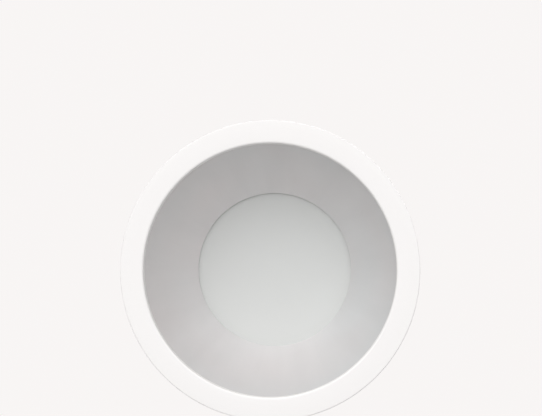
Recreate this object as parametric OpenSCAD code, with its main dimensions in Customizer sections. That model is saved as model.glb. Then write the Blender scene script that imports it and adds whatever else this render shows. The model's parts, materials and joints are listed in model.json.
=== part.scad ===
// Recessed ceiling light for porches and soffits, with a satin reflector cone, a frosted lens,
// a finned heat sink, three folding spring clips and a driver with its junction box on top.
// Millimetres, +Z up into the ceiling. The origin is on the light's axis at the ceiling's lower face.

/* [Aperture and flange] */
// Clear opening of the trim ring, seen from below
aperture_d = 152; // [148:1:158]
// Width of the white flange outside the opening
flange_w = 14; // [13:0.5:18]
// Thickness of the flange plate
flange_t = 3; // [2.6:0.1:4]
// Radius of the rolled lip round the opening
lip_r = 4; // [3:0.1:4.2]
// Thickness of the foam gasket between flange and ceiling
gasket_t = 2; // [1.5:0.1:3]
// Height of the reflector's seat above the ceiling line
seat_z = 1; // [0.6:0.1:1.4]

/* [Mounting collar] */
// Step from the opening's radius out to the collar that passes the ceiling hole
collar_step = 6; // [5.8:0.1:7]
// Wall of the collar's lower band
collar_wall = 1.6; // [1.4:0.1:2]
// Height of the band that sits in the ceiling hole, above the ceiling line
collar_band_h = 10; // [9:0.5:12]
// Height of the whole collar above the ceiling line
collar_h = 24; // [22:0.5:26]

/* [Reflector and lens] */
// Height of the cone from its seat to the lens opening
cone_h = 49; // [46:0.5:52]
// Diameter of the opening at the lens
throat_d = 97; // [92:0.5:99]
// Bulge of the cone's side away from a straight line
cone_bulge = 2.5; // [1.5:0.1:3.5]
// Thickness of the spun reflector sheet
cone_t = 1.2; // [1:0.1:1.5]
// Width of the reflector's rim on its seat
cone_rim_w = 2; // [1.6:0.1:2.2]
// How far the frosted lens reaches past the cone's opening
lens_lap = 5.5; // [5:0.1:6]
// Thickness of the frosted lens
lens_t = 3; // [2:0.5:4]
// Thickness of the silicone ring under the lens
lens_gasket_t = 1; // [0.8:0.1:1.5]

/* [Light engine] */
// Height of the white mixing cup
cup_h = 20.5; // [18:0.5:22]
// How far the cup's mouth stands in from the cone's opening at the lens
cup_inset = 1.5; // [0.5:0.1:2.5]
// Inner radius of the cup at the board
cup_top_r = 42; // [40:0.5:42.5]
// Wall of the cup
cup_wall = 1.5; // [1.2:0.1:2]
// How far the light board reaches past the cup's opening at the top
board_lap = 1; // [0.5:0.1:2]
// Thickness of that board
board_t = 1.6; // [1:0.1:2]
// Thickness of the thermal pad behind it
pad_t = 0.4; // [0.3:0.1:0.6]
// Length of one light chip
chip_l = 3.5; // [2.8:0.1:4]

/* [Heat sink and housing] */
// Number of fins, a multiple of six so that the screws stay between them
fin_count = 30; // [24:6:36]
// Thickness of a fin
fin_t = 1.8; // [1.4:0.1:2.2]
// Height of the fins above the flange
fin_h = 44; // [40:1:46]
// Thickness of the heat sink's base
sink_base_t = 6; // [5:0.5:7]
// Thickness of the heat sink's flange
sink_flange_t = 3; // [2.5:0.5:4]
// Depth between the collar's outside and the housing's outside, where the clips fold away
clip_bay = 12; // [11.8:0.1:12.4]
// Wall of the rear housing
housing_wall = 2; // [1.8:0.1:2.4]
// Height of the rear housing above the collar
housing_h = 36; // [35:0.5:38]

/* [Spring clips] */
// Height of the pivot above the collar
pivot_rise = 20.5; // [20:0.1:21.5]
// Distance from the pivot in to the collar's outer radius
pivot_inset = 5.4; // [5.2:0.1:5.8]
// Angle of a resting arm below horizontal
arm_drop = 76; // [75:0.5:78]
// Length of an arm from its pivot to its end
arm_l = 35.2; // [34:0.1:35.6]
// Thickness of the stamped sheet of arms and brackets
sheet_t = 1.2; // [1:0.1:1.2]
// Half width of an arm at its pivot
arm_half = 8.5; // [8:0.1:8.5]
// Diameter of a pivot pin
pin_d = 3; // [2.5:0.1:3.2]
// Diameter of the spring wire
wire_d = 1.1; // [0.9:0.1:1.2]
// Mean radius of the spring's coil
coil_r = 2.9; // [2.8:0.05:3]
// Whole curls of the spring, before the part curl that brings it to the arm
coil_turns = 5; // [4:1:5]
// Radius of the soft foot at the arm's end
foot_r = 2.8; // [2.6:0.1:3]

/* [Driver and junction box] */
// Thickness of the mounting plate on top of the fins
plate_t = 1.5; // [1.2:0.1:2]
// Length of the driver case
driver_l = 79; // [78:0.5:80]
// Width of the driver case and of the junction box
box_w = 52; // [51:0.5:54]
// Height of the driver case and of the junction box
box_h = 28; // [28:0.5:32]
// Length of the junction box
junction_l = 44; // [44:0.5:46]
// Wall of both boxes
box_wall = 1.5; // [1.2:0.1:1.8]
// Diameter of the supply cable's hole in its grommet
cable_hole_d = 9; // [8:0.5:9.5]
// Diameter of an insulated lead
lead_d = 2.2; // [1.8:0.1:2.4]

/* [Hidden] */
$fn = 64;
CLIPS = [1, 2, 3];

white = [0.95, 0.95, 0.94];
satin = [0.76, 0.76, 0.77];
cast = [0.62, 0.63, 0.65];
steel = [0.8, 0.8, 0.82];
dark = [0.12, 0.12, 0.13];
fit = 0.2; // gap round pieces that locate in one another
slip = 0.05; // gap between a screw, rivet or fixed pin and its hole
run = 0.08; // gap between a pin and what turns on it
cut = 1; // how far a cutting shape runs past the faces it cuts
screw_end = 0.5; // space between a screw's end and the bottom of its hole
head_ratio = 0.9; // radius of a screw's head for each unit of its diameter
small_screw_d = 2;
lead_in = 4; // how far a lead's end goes into its terminal

// Trim ring and collar
r_ap = aperture_d / 2;
r_flange = r_ap + flange_w;
r_collar = r_ap + collar_step;
r_collar_in = r_collar - collar_wall;
r_collar_top = r_collar - 0.6;
r_spigot = r_collar_in - fit;
z_back = -gasket_t;
z_face = z_back - flange_t;
edge_r = 1.6;
trim_screw_d = 2.5;
r_trim_screw = r_spigot - 1.6;
trim_thread = 4;
collar_shelf_t = 1.5;
collar_shelf_w = 7;
trim_boss_r = 2.6;
trim_boss_h = 10;
screw_angles = [30, 150, 270];
clip_angles = [90, 210, 330];

// Reflector and lens
r_throat = throat_d / 2;
cup_mouth_r = r_throat - cup_inset;
r_lens = r_throat + lens_lap;
r_rim = r_ap + cone_rim_w;
z_throat = seat_z + cone_h;
z_cone_top = z_throat + cone_t;
r_cone_top = r_lens + 2;
z_lens = z_cone_top + lens_gasket_t;
z_cup = z_lens + lens_t;
cup_flange_t = 2;
r_cup_flange = r_lens + 1.5;
z_cup_top = z_cup + cup_h;
z_board = z_cup_top + 0.3;
z_pad = z_board + board_t;
z_base = z_pad + pad_t;

// Housing and heat sink
r_housing = r_collar - clip_bay;
r_housing_in = r_housing - housing_wall;
z_housing_flange = collar_h + 2;
z_housing_top = collar_h + housing_h;
shelf_t = 2;
r_press = r_cup_flange + 1.7;
r_shelf = r_press + 0.3;
chamfer = 1.5;
r_sink_flange = r_housing - chamfer;
housing_gasket_t = 1;
z_flange = z_housing_top + housing_gasket_t;
z_flange_top = z_flange + sink_flange_t;
r_fin = r_sink_flange - 2.5;
r_hub = 14;
fin_root_r = 12;
z_base_top = z_base + sink_base_t;
z_fin_top = z_flange_top + fin_h;
sink_screw_d = 4;
r_sink_screw = r_housing - 6;
r_skirt = r_sink_screw - head_ratio * sink_screw_d - 0.4;
sink_boss_r = 4.3;
sink_thread = 6;
wire_hole_r = 4.5;
board_r = cup_top_r + board_lap;
board_screw_d = 3;
r_board_screw = cup_top_r - 4;
board_screw_angles = [60, 180, 300];
board_thread = 4;
board_hole_r = 3.5;
plug_x = [6, 14];

// Clips
z_pivot = collar_h + pivot_rise;
r_pivot = r_collar - pivot_inset;
clip_flat = r_housing + 1.2;
bay_x = r_pivot - clip_flat - sheet_t;
ear_r = 3.4;
bracket_half = arm_half + 0.3 + sheet_t;
wing_half = 15.9;
wing_y = 12.9;
wing_h = 10;
back_z = [-13, 9];
hook_z = [-11, -7];
clip_screw_d = 3;
clip_thread = 5;
heel_r = bay_x + 0.3;
heel_a = acos((bay_x - 0.15) / heel_r);
heel_dir = 180 + heel_a + arm_drop;
web_n = coil_r - wire_d / 2 - 0.25;
web_s = coil_r + wire_d / 2 + 1.75;
foot_s = arm_l - 1.2;
foot_half = arm_half - 0.9;
coil_half = arm_half - sheet_t - 2.35;
fixed_leg = 10.5;
arm_leg = 16;
rings = 8;
wire_sides = 6;

// Driver, junction box and what they hold
z_plate = z_fin_top;
z_box = z_plate + plate_t;
z_floor = z_box + box_wall;
z_box_top = z_box + box_h;
x_driver = 14;
x_driver_mid = x_driver - driver_l / 2;
x_junction = 20;
x_junction_end = x_junction + junction_l;
x_junction_mid = x_junction + junction_l / 2;
box_corner_r = 3;
post_in = 5.2;
post_r = 3.2;
cover_screw_d = 2.5;
cover_thread = 10;
cover_lip_h = 2;
plate_screw_d = 4;
plate_thread = 12;
plate_screws = [[22, 35], [-22, 35], [22, -35], [-22, -35]];
plate_boss_r = 4.5;
plate_margin = 14;
plate_rise = 0.5; // gap between the fins and the plate, which stands on hub and posts
z_driver_board = z_floor + 3.5;
z_parts = z_driver_board + 1.6;
driver_board_x = [x_driver - driver_l + 9, x_driver - 9];
driver_board_half = box_w / 2 - 2.5;
driver_post_r = 2.6;
small_thread = 4;
lead_notch_r = 6;
board_terminal_x = -9;
board_terminal_l = 10;
board_terminal_h = 8;
capacitor_r = 5.5;
capacitor_h = 17;
capacitor_x = driver_board_x[0] + capacitor_r + 1.5;
capacitor_y = driver_board_half - capacitor_r - 1;
far_post = [driver_board_x[0] + 6, capacitor_y - 8];
near_post = [driver_board_x[1] - 17, driver_board_half - 3.5];
driver_board_posts = [for (p = [far_post, near_post], y = [-1, 1]) [p[0], y * p[1]]];
transformer_x = (capacitor_x + board_terminal_x) / 2 - 7;
core_l = 10;
core_w = 22;
core_h = 18;
window_w = 4.5;
window_h = 11;
core_leg_half = 3.5;
winding_gap = 0.2;
wound_t = 4; // how far the winding stands out from the core
filter_size = [8, 13, 12];
choke_r = 4.6;
wound_r = 2.6;
// Upright chips: [place along the board, length, height]
upright_chips = [[capacitor_x + 11, 10, 14], [capacitor_x + 22.5, 8, 10]];
upright_w = 4.4;
fuse_r = 2.6;
fuse_l = 9;
z_lead = z_parts + 4;
lead_y = 1.6;
lead_bend_r = 4;
board_bend_r = 3;
z_board_lead = z_board - 2;
light_side = 1.8;
supply_side = 2.4;
terminal_side = 4;
terminal_gap = 0.5;
supply_first = lead_y + light_side + 0.2 + supply_side;
terminal_last = box_w / 2 - box_wall - terminal_gap - terminal_side;
supply_y = [supply_first, (supply_first + terminal_last) / 2];
terminal_y = concat(supply_y, terminal_last);
terminal_x = [x_junction + 10, x_junction + 24];
terminal_screw_x = [terminal_x[0] + 3.5, terminal_x[1] - 3.5];
terminal_screw_r = 2.1;
block_screw_x = (terminal_x[0] + terminal_x[1]) / 2;
block_screw_y = [(terminal_y[0] + terminal_y[1]) / 2, (terminal_y[1] + terminal_y[2]) / 2];
block_web = 5;
terminal_h = z_lead - z_floor + 4;
z_terminal_screw = z_lead + lead_d / 2 + 0.3;
rivets = [
    [x_driver - driver_l + 19, 0],
    [board_terminal_x - 11, -9],
    [x_junction + 10, 12 - box_w / 2],
    [x_junction_end - 10, 8 - box_w / 2]];
rivet_r = 1.5;
rivet_head_r = 3;
rivet_head_t = 1.2;
hinge_y = box_w / 2 + 2.2;
hinge_z = z_box_top;
knuckle_r = 2;
door_pin_r = 1;
door_t = 1.5;
door_x = [x_junction_mid - 8, x_junction_mid + 8];
z_door = z_box_top + 0.3;
knuckle_x = [x_junction + 6, x_junction_end - 6];
knuckle_gap = 0.4;
z_cable = z_floor + 12;
cable_r = cable_hole_d / 2;
clamp_x = x_junction_end - 10;
clamp_l = 6;
clamp_half = 12;
clamp_screw_y = cable_r + 4.8;
z_clamp = z_cable - cable_r - 0.1;
clamp_top = z_cable + cable_r + 1.5;
clamp_screw_d = 3;
clamp_thread = 6;
grommet_waist_r = cable_r + 2;
grommet_lip_r = cable_r + 3.7;
grommet_lip_t = 2;
lead_bore_r = 5.4;

// Points of an arc round c
function arc(c, r, a0, a1, n) =
    [for (i = [0:n]) let (a = a0 + (a1 - a0) * i / n) c + r * [cos(a), sin(a)]];

// The cone's side is an arc through the seat's edge and the throat's edge
side_from = [r_ap, seat_z];
side_to = [r_throat, z_throat];
side_chord = side_to - side_from;
side_len = norm(side_chord);
side_r = side_len * side_len / (8 * cone_bulge) + cone_bulge / 2;
side_out = [side_chord[1], -side_chord[0]] / side_len;
side_c = (side_from + side_to) / 2 - side_out * (side_r - cone_bulge);
side_a0 = atan2(side_from[1] - side_c[1], side_from[0] - side_c[0]);
side_a1 = atan2(side_to[1] - side_c[1], side_to[0] - side_c[0]);
side_steps = 12;

module at_angles(angles, r) {
    for (a = angles)
        rotate([0, 0, a])
            translate([r, 0, 0])
                children();
}

// A ring between two radii and two heights
module ring(r_in, r_out, z0, z1) {
    rotate_extrude($fn = 96)
        translate([r_in, z0])
            square([r_out - r_in, z1 - z0]);
}

// A plate outline with round corners, centred
module rounded(l, w, r) {
    square([l - 2 * r, w], center = true);
    square([l, w - 2 * r], center = true);
    for (x = [-1, 1], y = [-1, 1])
        translate([x * (l / 2 - r), y * (w / 2 - r)])
            circle(r, $fn = 32);
}

// A pan-head screw along -Z, its head standing on z = 0, with a cross recess
module screw(d, l) {
    head_r = head_ratio * d;
    head_h = 0.6 * d;
    difference() {
        union() {
            cylinder(r = head_r, h = head_h, $fn = 32);
            translate([0, 0, -l])
                cylinder(r = d / 2, h = l, $fn = 32);
        }
        for (a = [0, 90])
            rotate([0, 0, a])
                translate([-head_r * 0.6, -head_r * 0.1, head_h * 0.45])
                    cube([head_r * 1.2, head_r * 0.2, head_h]);
    }
}

module at_clip(k) {
    rotate([0, 0, clip_angles[k - 1]])
        translate([r_pivot, 0, z_pivot])
            children();
}

// A sheet-metal outline drawn in radial and height directions, from y0 on, sheet_t thick
module cheek(y0) {
    translate([0, y0 + sheet_t, 0])
        rotate([90, 0, 0])
            linear_extrude(sheet_t)
                children();
}

module trim_ring() {
    lip_c = [r_ap + lip_r, z_face + lip_r];
    edge_c = [r_flange - edge_r, z_face + edge_r];
    color(white)
        difference() {
            rotate_extrude($fn = 96)
                polygon(concat(
                    arc(lip_c, lip_r, 180, 270, 8),
                    arc(edge_c, edge_r, 270, 360, 4),
                    [[r_flange, z_back], [r_spigot, z_back], [r_spigot, seat_z], [r_ap, seat_z]]));
            at_angles(screw_angles, r_trim_screw)
                translate([0, 0, seat_z - trim_thread])
                    cylinder(r = trim_screw_d / 2 + slip, h = trim_thread + cut, $fn = 32);
        }
}

module mounting_collar() {
    shelf_r = r_collar_in - collar_shelf_w;
    color(cast)
        difference() {
            union() {
                ring(r_collar_in, r_collar, z_back, collar_band_h);
                ring(r_collar_in, r_collar_top, collar_band_h, collar_h);
                ring(shelf_r, r_collar_top, collar_h - collar_shelf_t, collar_h);
                at_angles(screw_angles, r_trim_screw)
                    translate([0, 0, collar_h - trim_boss_h])
                        cylinder(r = trim_boss_r, h = trim_boss_h, $fn = 32);
            }
            at_angles(screw_angles, r_trim_screw)
                cylinder(r = trim_screw_d / 2 + fit, h = collar_h + cut, $fn = 32);
        }
}

module ceiling_gasket() {
    color(dark)
        ring(r_collar + 1, r_flange - 1.2, z_back, 0);
}

module reflector_cone() {
    color(satin)
        difference() {
            union() {
                rotate_extrude($fn = 96)
                    polygon(concat(
                        arc(side_c, side_r, side_a0, side_a1, side_steps),
                        arc(side_c, side_r + cone_t, side_a1, side_a0, side_steps)));
                ring(r_ap, r_rim, seat_z, seat_z + cone_t);
                ring(r_throat, r_cone_top, z_throat, z_cone_top);
            }
            at_angles(screw_angles, r_trim_screw)
                translate([0, 0, seat_z - cut])
                    cylinder(r = trim_screw_d / 2 + fit, h = cone_t + 2 * cut, $fn = 32);
        }
}

module lens_gasket() {
    color(dark)
        ring(r_throat + 1.5, r_lens, z_cone_top, z_lens);
}

module diffuser_lens() {
    color([0.94, 0.95, 0.93])
        translate([0, 0, z_lens])
            cylinder(r = r_lens, h = lens_t, $fn = 96);
}

module mixing_cup() {
    color([0.97, 0.97, 0.97])
        rotate_extrude($fn = 96)
            polygon([
                [cup_mouth_r, z_cup], [r_lens + fit, z_cup], [r_lens + fit, z_cone_top + fit],
                [r_cup_flange, z_cone_top + fit], [r_cup_flange, z_cup + cup_flange_t],
                [cup_mouth_r + cup_wall, z_cup + cup_flange_t],
                [cup_top_r + cup_wall, z_cup_top], [cup_top_r, z_cup_top]]);
}

module led_board() {
    color([0.93, 0.94, 0.92])
        difference() {
            translate([0, 0, z_board])
                cylinder(r = board_r, h = board_t, $fn = 96);
            translate([0, 0, z_board - cut])
                cylinder(r = board_hole_r, h = board_t + 2 * cut, $fn = 32);
            at_angles(board_screw_angles, r_board_screw)
                translate([0, 0, z_board - cut])
                    cylinder(r = board_screw_d / 2 + fit, h = board_t + 2 * cut, $fn = 32);
        }
}

// Rings of light chips under the board: [how many, radius, first angle]
module led_chips() {
    chip_rings = [[8, 18, 22.5], [14, 26, 0], [18, 33, 10]];
    chip_w = chip_l * 0.8;
    chip_h = 0.7;
    color([0.96, 0.9, 0.55])
        for (c = chip_rings, i = [0:c[0] - 1])
            rotate([0, 0, c[2] + i * 360 / c[0]])
                translate([c[1] - chip_w / 2, -chip_l / 2, z_board - chip_h])
                    cube([chip_w, chip_l, chip_h]);
}

module led_connector() {
    plug_half = 4;
    plug_h = 4;
    color(white)
        difference() {
            translate([plug_x[0], -plug_half, z_board - plug_h])
                cube([plug_x[1] - plug_x[0], 2 * plug_half, plug_h]);
            for (y = [-lead_y, lead_y])
                translate([plug_x[0] - cut, y, z_board_lead])
                    rotate([0, 90, 0])
                        cylinder(r = lead_d / 2 + slip, h = lead_in + screw_end + cut, $fn = 24);
        }
}

module led_board_screws() {
    color(steel)
        at_angles(board_screw_angles, r_board_screw)
            translate([0, 0, z_board])
                mirror([0, 0, 1])
                    screw(board_screw_d, board_t + pad_t + board_thread);
}

module thermal_pad() {
    color([0.55, 0.6, 0.62])
        difference() {
            translate([0, 0, z_pad])
                cylinder(r = board_r, h = pad_t, $fn = 96);
            translate([0, 0, z_pad - cut])
                cylinder(r = board_hole_r, h = pad_t + 2 * cut, $fn = 32);
            at_angles(board_screw_angles, r_board_screw)
                translate([0, 0, z_pad - cut])
                    cylinder(r = board_screw_d / 2 + fit, h = pad_t + 2 * cut, $fn = 32);
        }
}

// One fin in radial and height directions: it stands on the base and on the flange outside the base
module fin() {
    root = 0.5;
    top = z_fin_top - plate_rise;
    rotate([90, 0, 0])
        translate([0, 0, -fin_t / 2])
            linear_extrude(fin_t)
                polygon([
                    [fin_root_r, z_base_top - root], [r_skirt - root, z_base_top - root],
                    [r_skirt - root, z_flange_top - root], [r_fin, z_flange_top - root],
                    [r_fin, top], [fin_root_r, top]]);
}

module heat_sink() {
    z_press = z_cup + cup_flange_t;
    r_press_in = r_cup_flange - 2.5;
    post_z = z_base_top - 1;
    color([0.2, 0.2, 0.21])
        difference() {
            union() {
                rotate_extrude($fn = 96)
                    polygon([
                        [0, z_base], [0, z_base_top], [r_skirt, z_base_top],
                        [r_skirt, z_flange_top], [r_sink_flange, z_flange_top],
                        [r_sink_flange, z_flange], [r_press, z_flange], [r_press, z_press],
                        [r_press_in, z_press], [r_press_in, z_base]]);
                for (i = [0:fin_count - 1])
                    rotate([0, 0, i * 360 / fin_count])
                        fin();
                translate([0, 0, post_z])
                    cylinder(r = r_hub, h = z_fin_top - post_z);
                for (p = plate_screws)
                    translate([p[0], p[1], post_z])
                        cylinder(r = plate_boss_r, h = z_fin_top - post_z, $fn = 32);
            }
            translate([0, 0, z_base - cut])
                cylinder(r = wire_hole_r, h = z_fin_top - z_base + 2 * cut, $fn = 32);
            at_angles(screw_angles, r_sink_screw)
                translate([0, 0, z_flange - cut])
                    cylinder(r = sink_screw_d / 2 + fit, h = sink_flange_t + 2 * cut, $fn = 32);
            at_angles(board_screw_angles, r_board_screw)
                translate([0, 0, z_base - cut])
                    cylinder(r = board_screw_d / 2 + slip, h = board_thread + screw_end + cut, $fn = 32);
            for (p = plate_screws)
                translate([p[0], p[1], z_fin_top - plate_thread])
                    cylinder(r = plate_screw_d / 2 + slip, h = plate_thread + cut, $fn = 32);
        }
}

module housing_gasket() {
    color(dark)
        difference() {
            ring(r_shelf, r_sink_flange, z_housing_top, z_flange);
            at_angles(screw_angles, r_sink_screw)
                translate([0, 0, z_housing_top - cut])
                    cylinder(r = sink_screw_d / 2 + fit, h = housing_gasket_t + 2 * cut, $fn = 32);
        }
}

module rear_housing() {
    r_foot = r_collar_top - 0.5;
    flare = 2.5;
    r_bore = r_housing_in + 3;
    pad_half = wing_half + 0.2;
    pad_below = 14;
    pad_above = 10;
    sink_boss_h = sink_thread + shelf_t;
    inner = [
        [r_bore, collar_h], [r_housing_in, collar_h + 3.5],
        [r_housing_in, z_housing_top - shelf_t - chamfer],
        [r_housing_in - chamfer, z_housing_top - shelf_t]];
    color(cast)
        difference() {
            union() {
                rotate_extrude($fn = 96)
                    polygon(concat(
                        inner,
                        [[r_shelf, z_housing_top - shelf_t], [r_shelf, z_housing_top],
                         [r_sink_flange, z_housing_top], [r_housing, z_housing_top - chamfer],
                         [r_housing, z_housing_flange + flare], [r_housing + flare, z_housing_flange],
                         [r_foot, z_housing_flange], [r_foot, collar_h]]));
                difference() {
                    for (a = clip_angles)
                        rotate([0, 0, a])
                            translate([0, -pad_half, z_pivot - pad_below])
                                cube([clip_flat, 2 * pad_half, pad_below + pad_above]);
                    translate([0, 0, z_pivot - pad_below - cut])
                        cylinder(r = r_housing_in, h = pad_below + pad_above + 2 * cut, $fn = 96);
                }
                at_angles(screw_angles, r_sink_screw)
                    translate([0, 0, z_housing_top - sink_boss_h])
                        cylinder(r = sink_boss_r, h = sink_boss_h, $fn = 32);
            }
            at_angles(screw_angles, r_trim_screw)
                cylinder(r = trim_screw_d / 2 + fit, h = z_housing_flange + cut, $fn = 32);
            at_angles(screw_angles, r_sink_screw)
                translate([0, 0, z_housing_top - sink_thread - screw_end])
                    cylinder(r = sink_screw_d / 2 + slip, h = sink_thread + screw_end + cut, $fn = 32);
            for (a = clip_angles, y = [-wing_y, wing_y])
                rotate([0, 0, a])
                    translate([r_housing - 10, y, z_pivot])
                        rotate([0, 90, 0])
                            cylinder(r = clip_screw_d / 2 + slip, h = 20, $fn = 32);
        }
}

module trim_screws() {
    color(steel)
        at_angles(screw_angles, r_trim_screw)
            translate([0, 0, z_housing_flange])
                screw(trim_screw_d, z_housing_flange - seat_z + trim_thread - screw_end);
}

module heat_sink_screws() {
    color(steel)
        at_angles(screw_angles, r_sink_screw)
            translate([0, 0, z_flange_top])
                screw(sink_screw_d, sink_flange_t + housing_gasket_t + sink_thread);
}

module clip_bracket(k) {
    hook_x = -coil_r + wire_d / 2 + fit;
    color(steel)
        at_clip(k)
            difference() {
                union() {
                    translate([-bay_x - sheet_t, -bracket_half, back_z[0]])
                        cube([sheet_t, 2 * bracket_half, back_z[1] - back_z[0]]);
                    translate([-bay_x - sheet_t, -wing_half, -wing_h / 2])
                        cube([sheet_t, 2 * wing_half, wing_h]);
                    for (y = [-bracket_half, bracket_half - sheet_t])
                        cheek(y) {
                            circle(ear_r, $fn = 48);
                            translate([-bay_x - sheet_t / 2, -ear_r])
                                square([bay_x + sheet_t / 2, 2 * ear_r]);
                        }
                    cheek(-bracket_half)
                        translate([-bay_x - sheet_t / 2, hook_z[0]])
                            square([bay_x + sheet_t / 2 + hook_x + sheet_t, -hook_z[0]]);
                    translate([hook_x, -bracket_half + sheet_t / 2, hook_z[0]])
                        cube([sheet_t, bracket_half - coil_half + 0.75 - sheet_t / 2, hook_z[1] - hook_z[0]]);
                }
                translate([0, bracket_half + cut, 0])
                    rotate([90, 0, 0])
                        cylinder(r = pin_d / 2 + slip, h = 2 * bracket_half + 2 * cut, $fn = 32);
                for (y = [-wing_y, wing_y])
                    translate([-bay_x - sheet_t - cut, y, 0])
                        rotate([0, 90, 0])
                            cylinder(r = clip_screw_d / 2 + fit, h = sheet_t + 2 * cut, $fn = 32);
            }
}

module clip_pins() {
    head_r = pin_d / 2 + 0.7;
    head_h = 0.8;
    color(steel)
        for (k = CLIPS)
            at_clip(k)
                rotate([90, 0, 0]) {
                    cylinder(r = pin_d / 2, h = 2 * bracket_half, center = true, $fn = 32);
                    for (z = [-bracket_half - head_h, bracket_half])
                        translate([0, 0, z])
                            cylinder(r = head_r, h = head_h, $fn = 32);
                }
}

module clip_bracket_screws() {
    color(steel)
        for (k = CLIPS, y = [-wing_y, wing_y])
            at_clip(k)
                translate([-bay_x, y, 0])
                    rotate([0, 90, 0])
                        screw(clip_screw_d, sheet_t + clip_thread);
}

// The spring's path: straight down the housing, round the pin, then out along the arm
coil_sweep = 90 + arm_drop + 360 * coil_turns;
coil_steps = round(coil_sweep / 360 * rings);
arm_dir = [cos(arm_drop), 0, -sin(arm_drop)];
arm_up = [sin(arm_drop), 0, cos(arm_drop)];
coil_path = [for (i = [0:coil_steps])
    let (a = 180 - coil_sweep * i / coil_steps, y = -coil_half + 2 * coil_half * i / coil_steps)
    [coil_r * cos(a), y, coil_r * sin(a)]];
spring_path = concat(
    [[-coil_r, -coil_half, -fixed_leg], [-coil_r, -coil_half, -wire_d]],
    coil_path,
    [for (d = [wire_d, arm_leg]) coil_r * arm_up + d * arm_dir + [0, coil_half, 0]]);
spring_last = len(spring_path) - 1;
spring_gap = min([for (i = [0:spring_last - rings + 2], j = [i + rings - 2:1:spring_last])
    norm(spring_path[i] - spring_path[j])]) - wire_d;
echo(str("clip spring, least gap to itself in mm: ", spring_gap));

function along(p, i) = p[min(i + 1, len(p) - 1)] - p[max(i - 1, 0)];
function unit(v) = v / norm(v);
function wire_ring(p, i, r, n) =
    let (t = unit(along(p, i)), u = unit(cross(t, [0, 1, 0])), v = cross(t, u))
    [for (j = [0:n - 1]) p[i] + r * (cos(360 * j / n) * u + sin(360 * j / n) * v)];

// A closed tube swept along points, as triangles
module wire_tube(p, r, n) {
    last = len(p) - 1;
    points = [for (i = [0:last]) each wire_ring(p, i, r, n)];
    sides = [for (i = [0:last - 1], j = [0:n - 1])
        let (a = i * n + j, b = i * n + (j + 1) % n)
        each [[a, b, b + n], [a, b + n, a + n]]];
    ends = [for (j = [1:n - 2]) each [[0, j + 1, j], [last * n, last * n + j, last * n + j + 1]]];
    polyhedron(points, concat(sides, ends));
}

module clip_spring(k) {
    color([0.55, 0.56, 0.58])
        at_clip(k)
            wire_tube(spring_path, wire_d / 2, wire_sides);
}

// An arm in its own directions: x along it from the pivot, z away from the ceiling hole
module in_arm(k) {
    at_clip(k)
        rotate([0, arm_drop, 0])
            children();
}

module clip_arm(k) {
    heel = heel_r * [cos(heel_dir), sin(heel_dir)];
    taper_s = 14;
    tip_half = arm_half - 2;
    ear_low = 2.2;
    color(steel)
        in_arm(k)
            difference() {
                union() {
                    for (y = [-arm_half, arm_half - sheet_t])
                        cheek(y) {
                            circle(ear_r, $fn = 48);
                            translate([0, -ear_low])
                                square([12, ear_low + web_n]);
                            translate(heel)
                                square([1.1, -heel[1]]);
                        }
                    translate([0, 0, web_n - sheet_t])
                        linear_extrude(sheet_t)
                            polygon([
                                [web_s, -arm_half], [taper_s, -arm_half], [arm_l, -tip_half],
                                [arm_l, tip_half], [taper_s, arm_half], [web_s, arm_half]]);
                }
                translate([0, arm_half + cut, 0])
                    rotate([90, 0, 0])
                        cylinder(r = pin_d / 2 + run, h = 2 * arm_half + 2 * cut, $fn = 32);
            }
}

module clip_foot(k) {
    slot = 0.05;
    color(dark)
        in_arm(k)
            difference() {
                translate([foot_s, foot_half, web_n - sheet_t / 2])
                    rotate([90, 0, 0])
                        cylinder(r = foot_r, h = 2 * foot_half, $fn = 48);
                translate([foot_s - 2 * foot_r, -foot_half - cut, web_n - sheet_t - slot])
                    cube([arm_l + slot - foot_s + 2 * foot_r, 2 * foot_half + 2 * cut, sheet_t + 2 * slot]);
            }
}

module driver_plate() {
    color(steel)
        translate([0, 0, z_plate])
            linear_extrude(plate_t)
                difference() {
                    union() {
                        x0 = x_driver - driver_l - 1;
                        x1 = x_junction_end + 1;
                        translate([(x0 + x1) / 2, 0])
                            rounded(x1 - x0, box_w + 2, 4);
                        rounded(2 * plate_screws[0][0] + plate_margin, 2 * plate_screws[0][1] + plate_margin, 6);
                    }
                    circle(lead_bore_r + fit, $fn = 48);
                    for (p = plate_screws)
                        translate(p)
                            circle(plate_screw_d / 2 + fit, $fn = 32);
                    for (p = rivets)
                        translate(p)
                            circle(rivet_r + slip, $fn = 32);
                    for (y = block_screw_y)
                        translate([block_screw_x, y])
                            circle(small_screw_d / 2 + slip, $fn = 24);
                }
}

module driver_plate_screws() {
    color(steel)
        for (p = plate_screws)
            translate([p[0], p[1], z_box])
                screw(plate_screw_d, plate_t + plate_thread - screw_end);
}

// Corner posts of the driver case
module at_driver_posts() {
    for (x = [x_driver - post_in, x_driver - driver_l + post_in], y = [-1, 1])
        translate([x, y * (box_w / 2 - post_in), 0])
            children();
}

// Holes for the two supply leads through the walls between the boxes
module supply_holes() {
    for (y = supply_y)
        translate([x_driver - box_wall - cut, y, z_lead])
            rotate([0, 90, 0])
                cylinder(r = lead_d / 2 + fit, h = x_junction - x_driver + 2 * box_wall + 2 * cut, $fn = 24);
}

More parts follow.
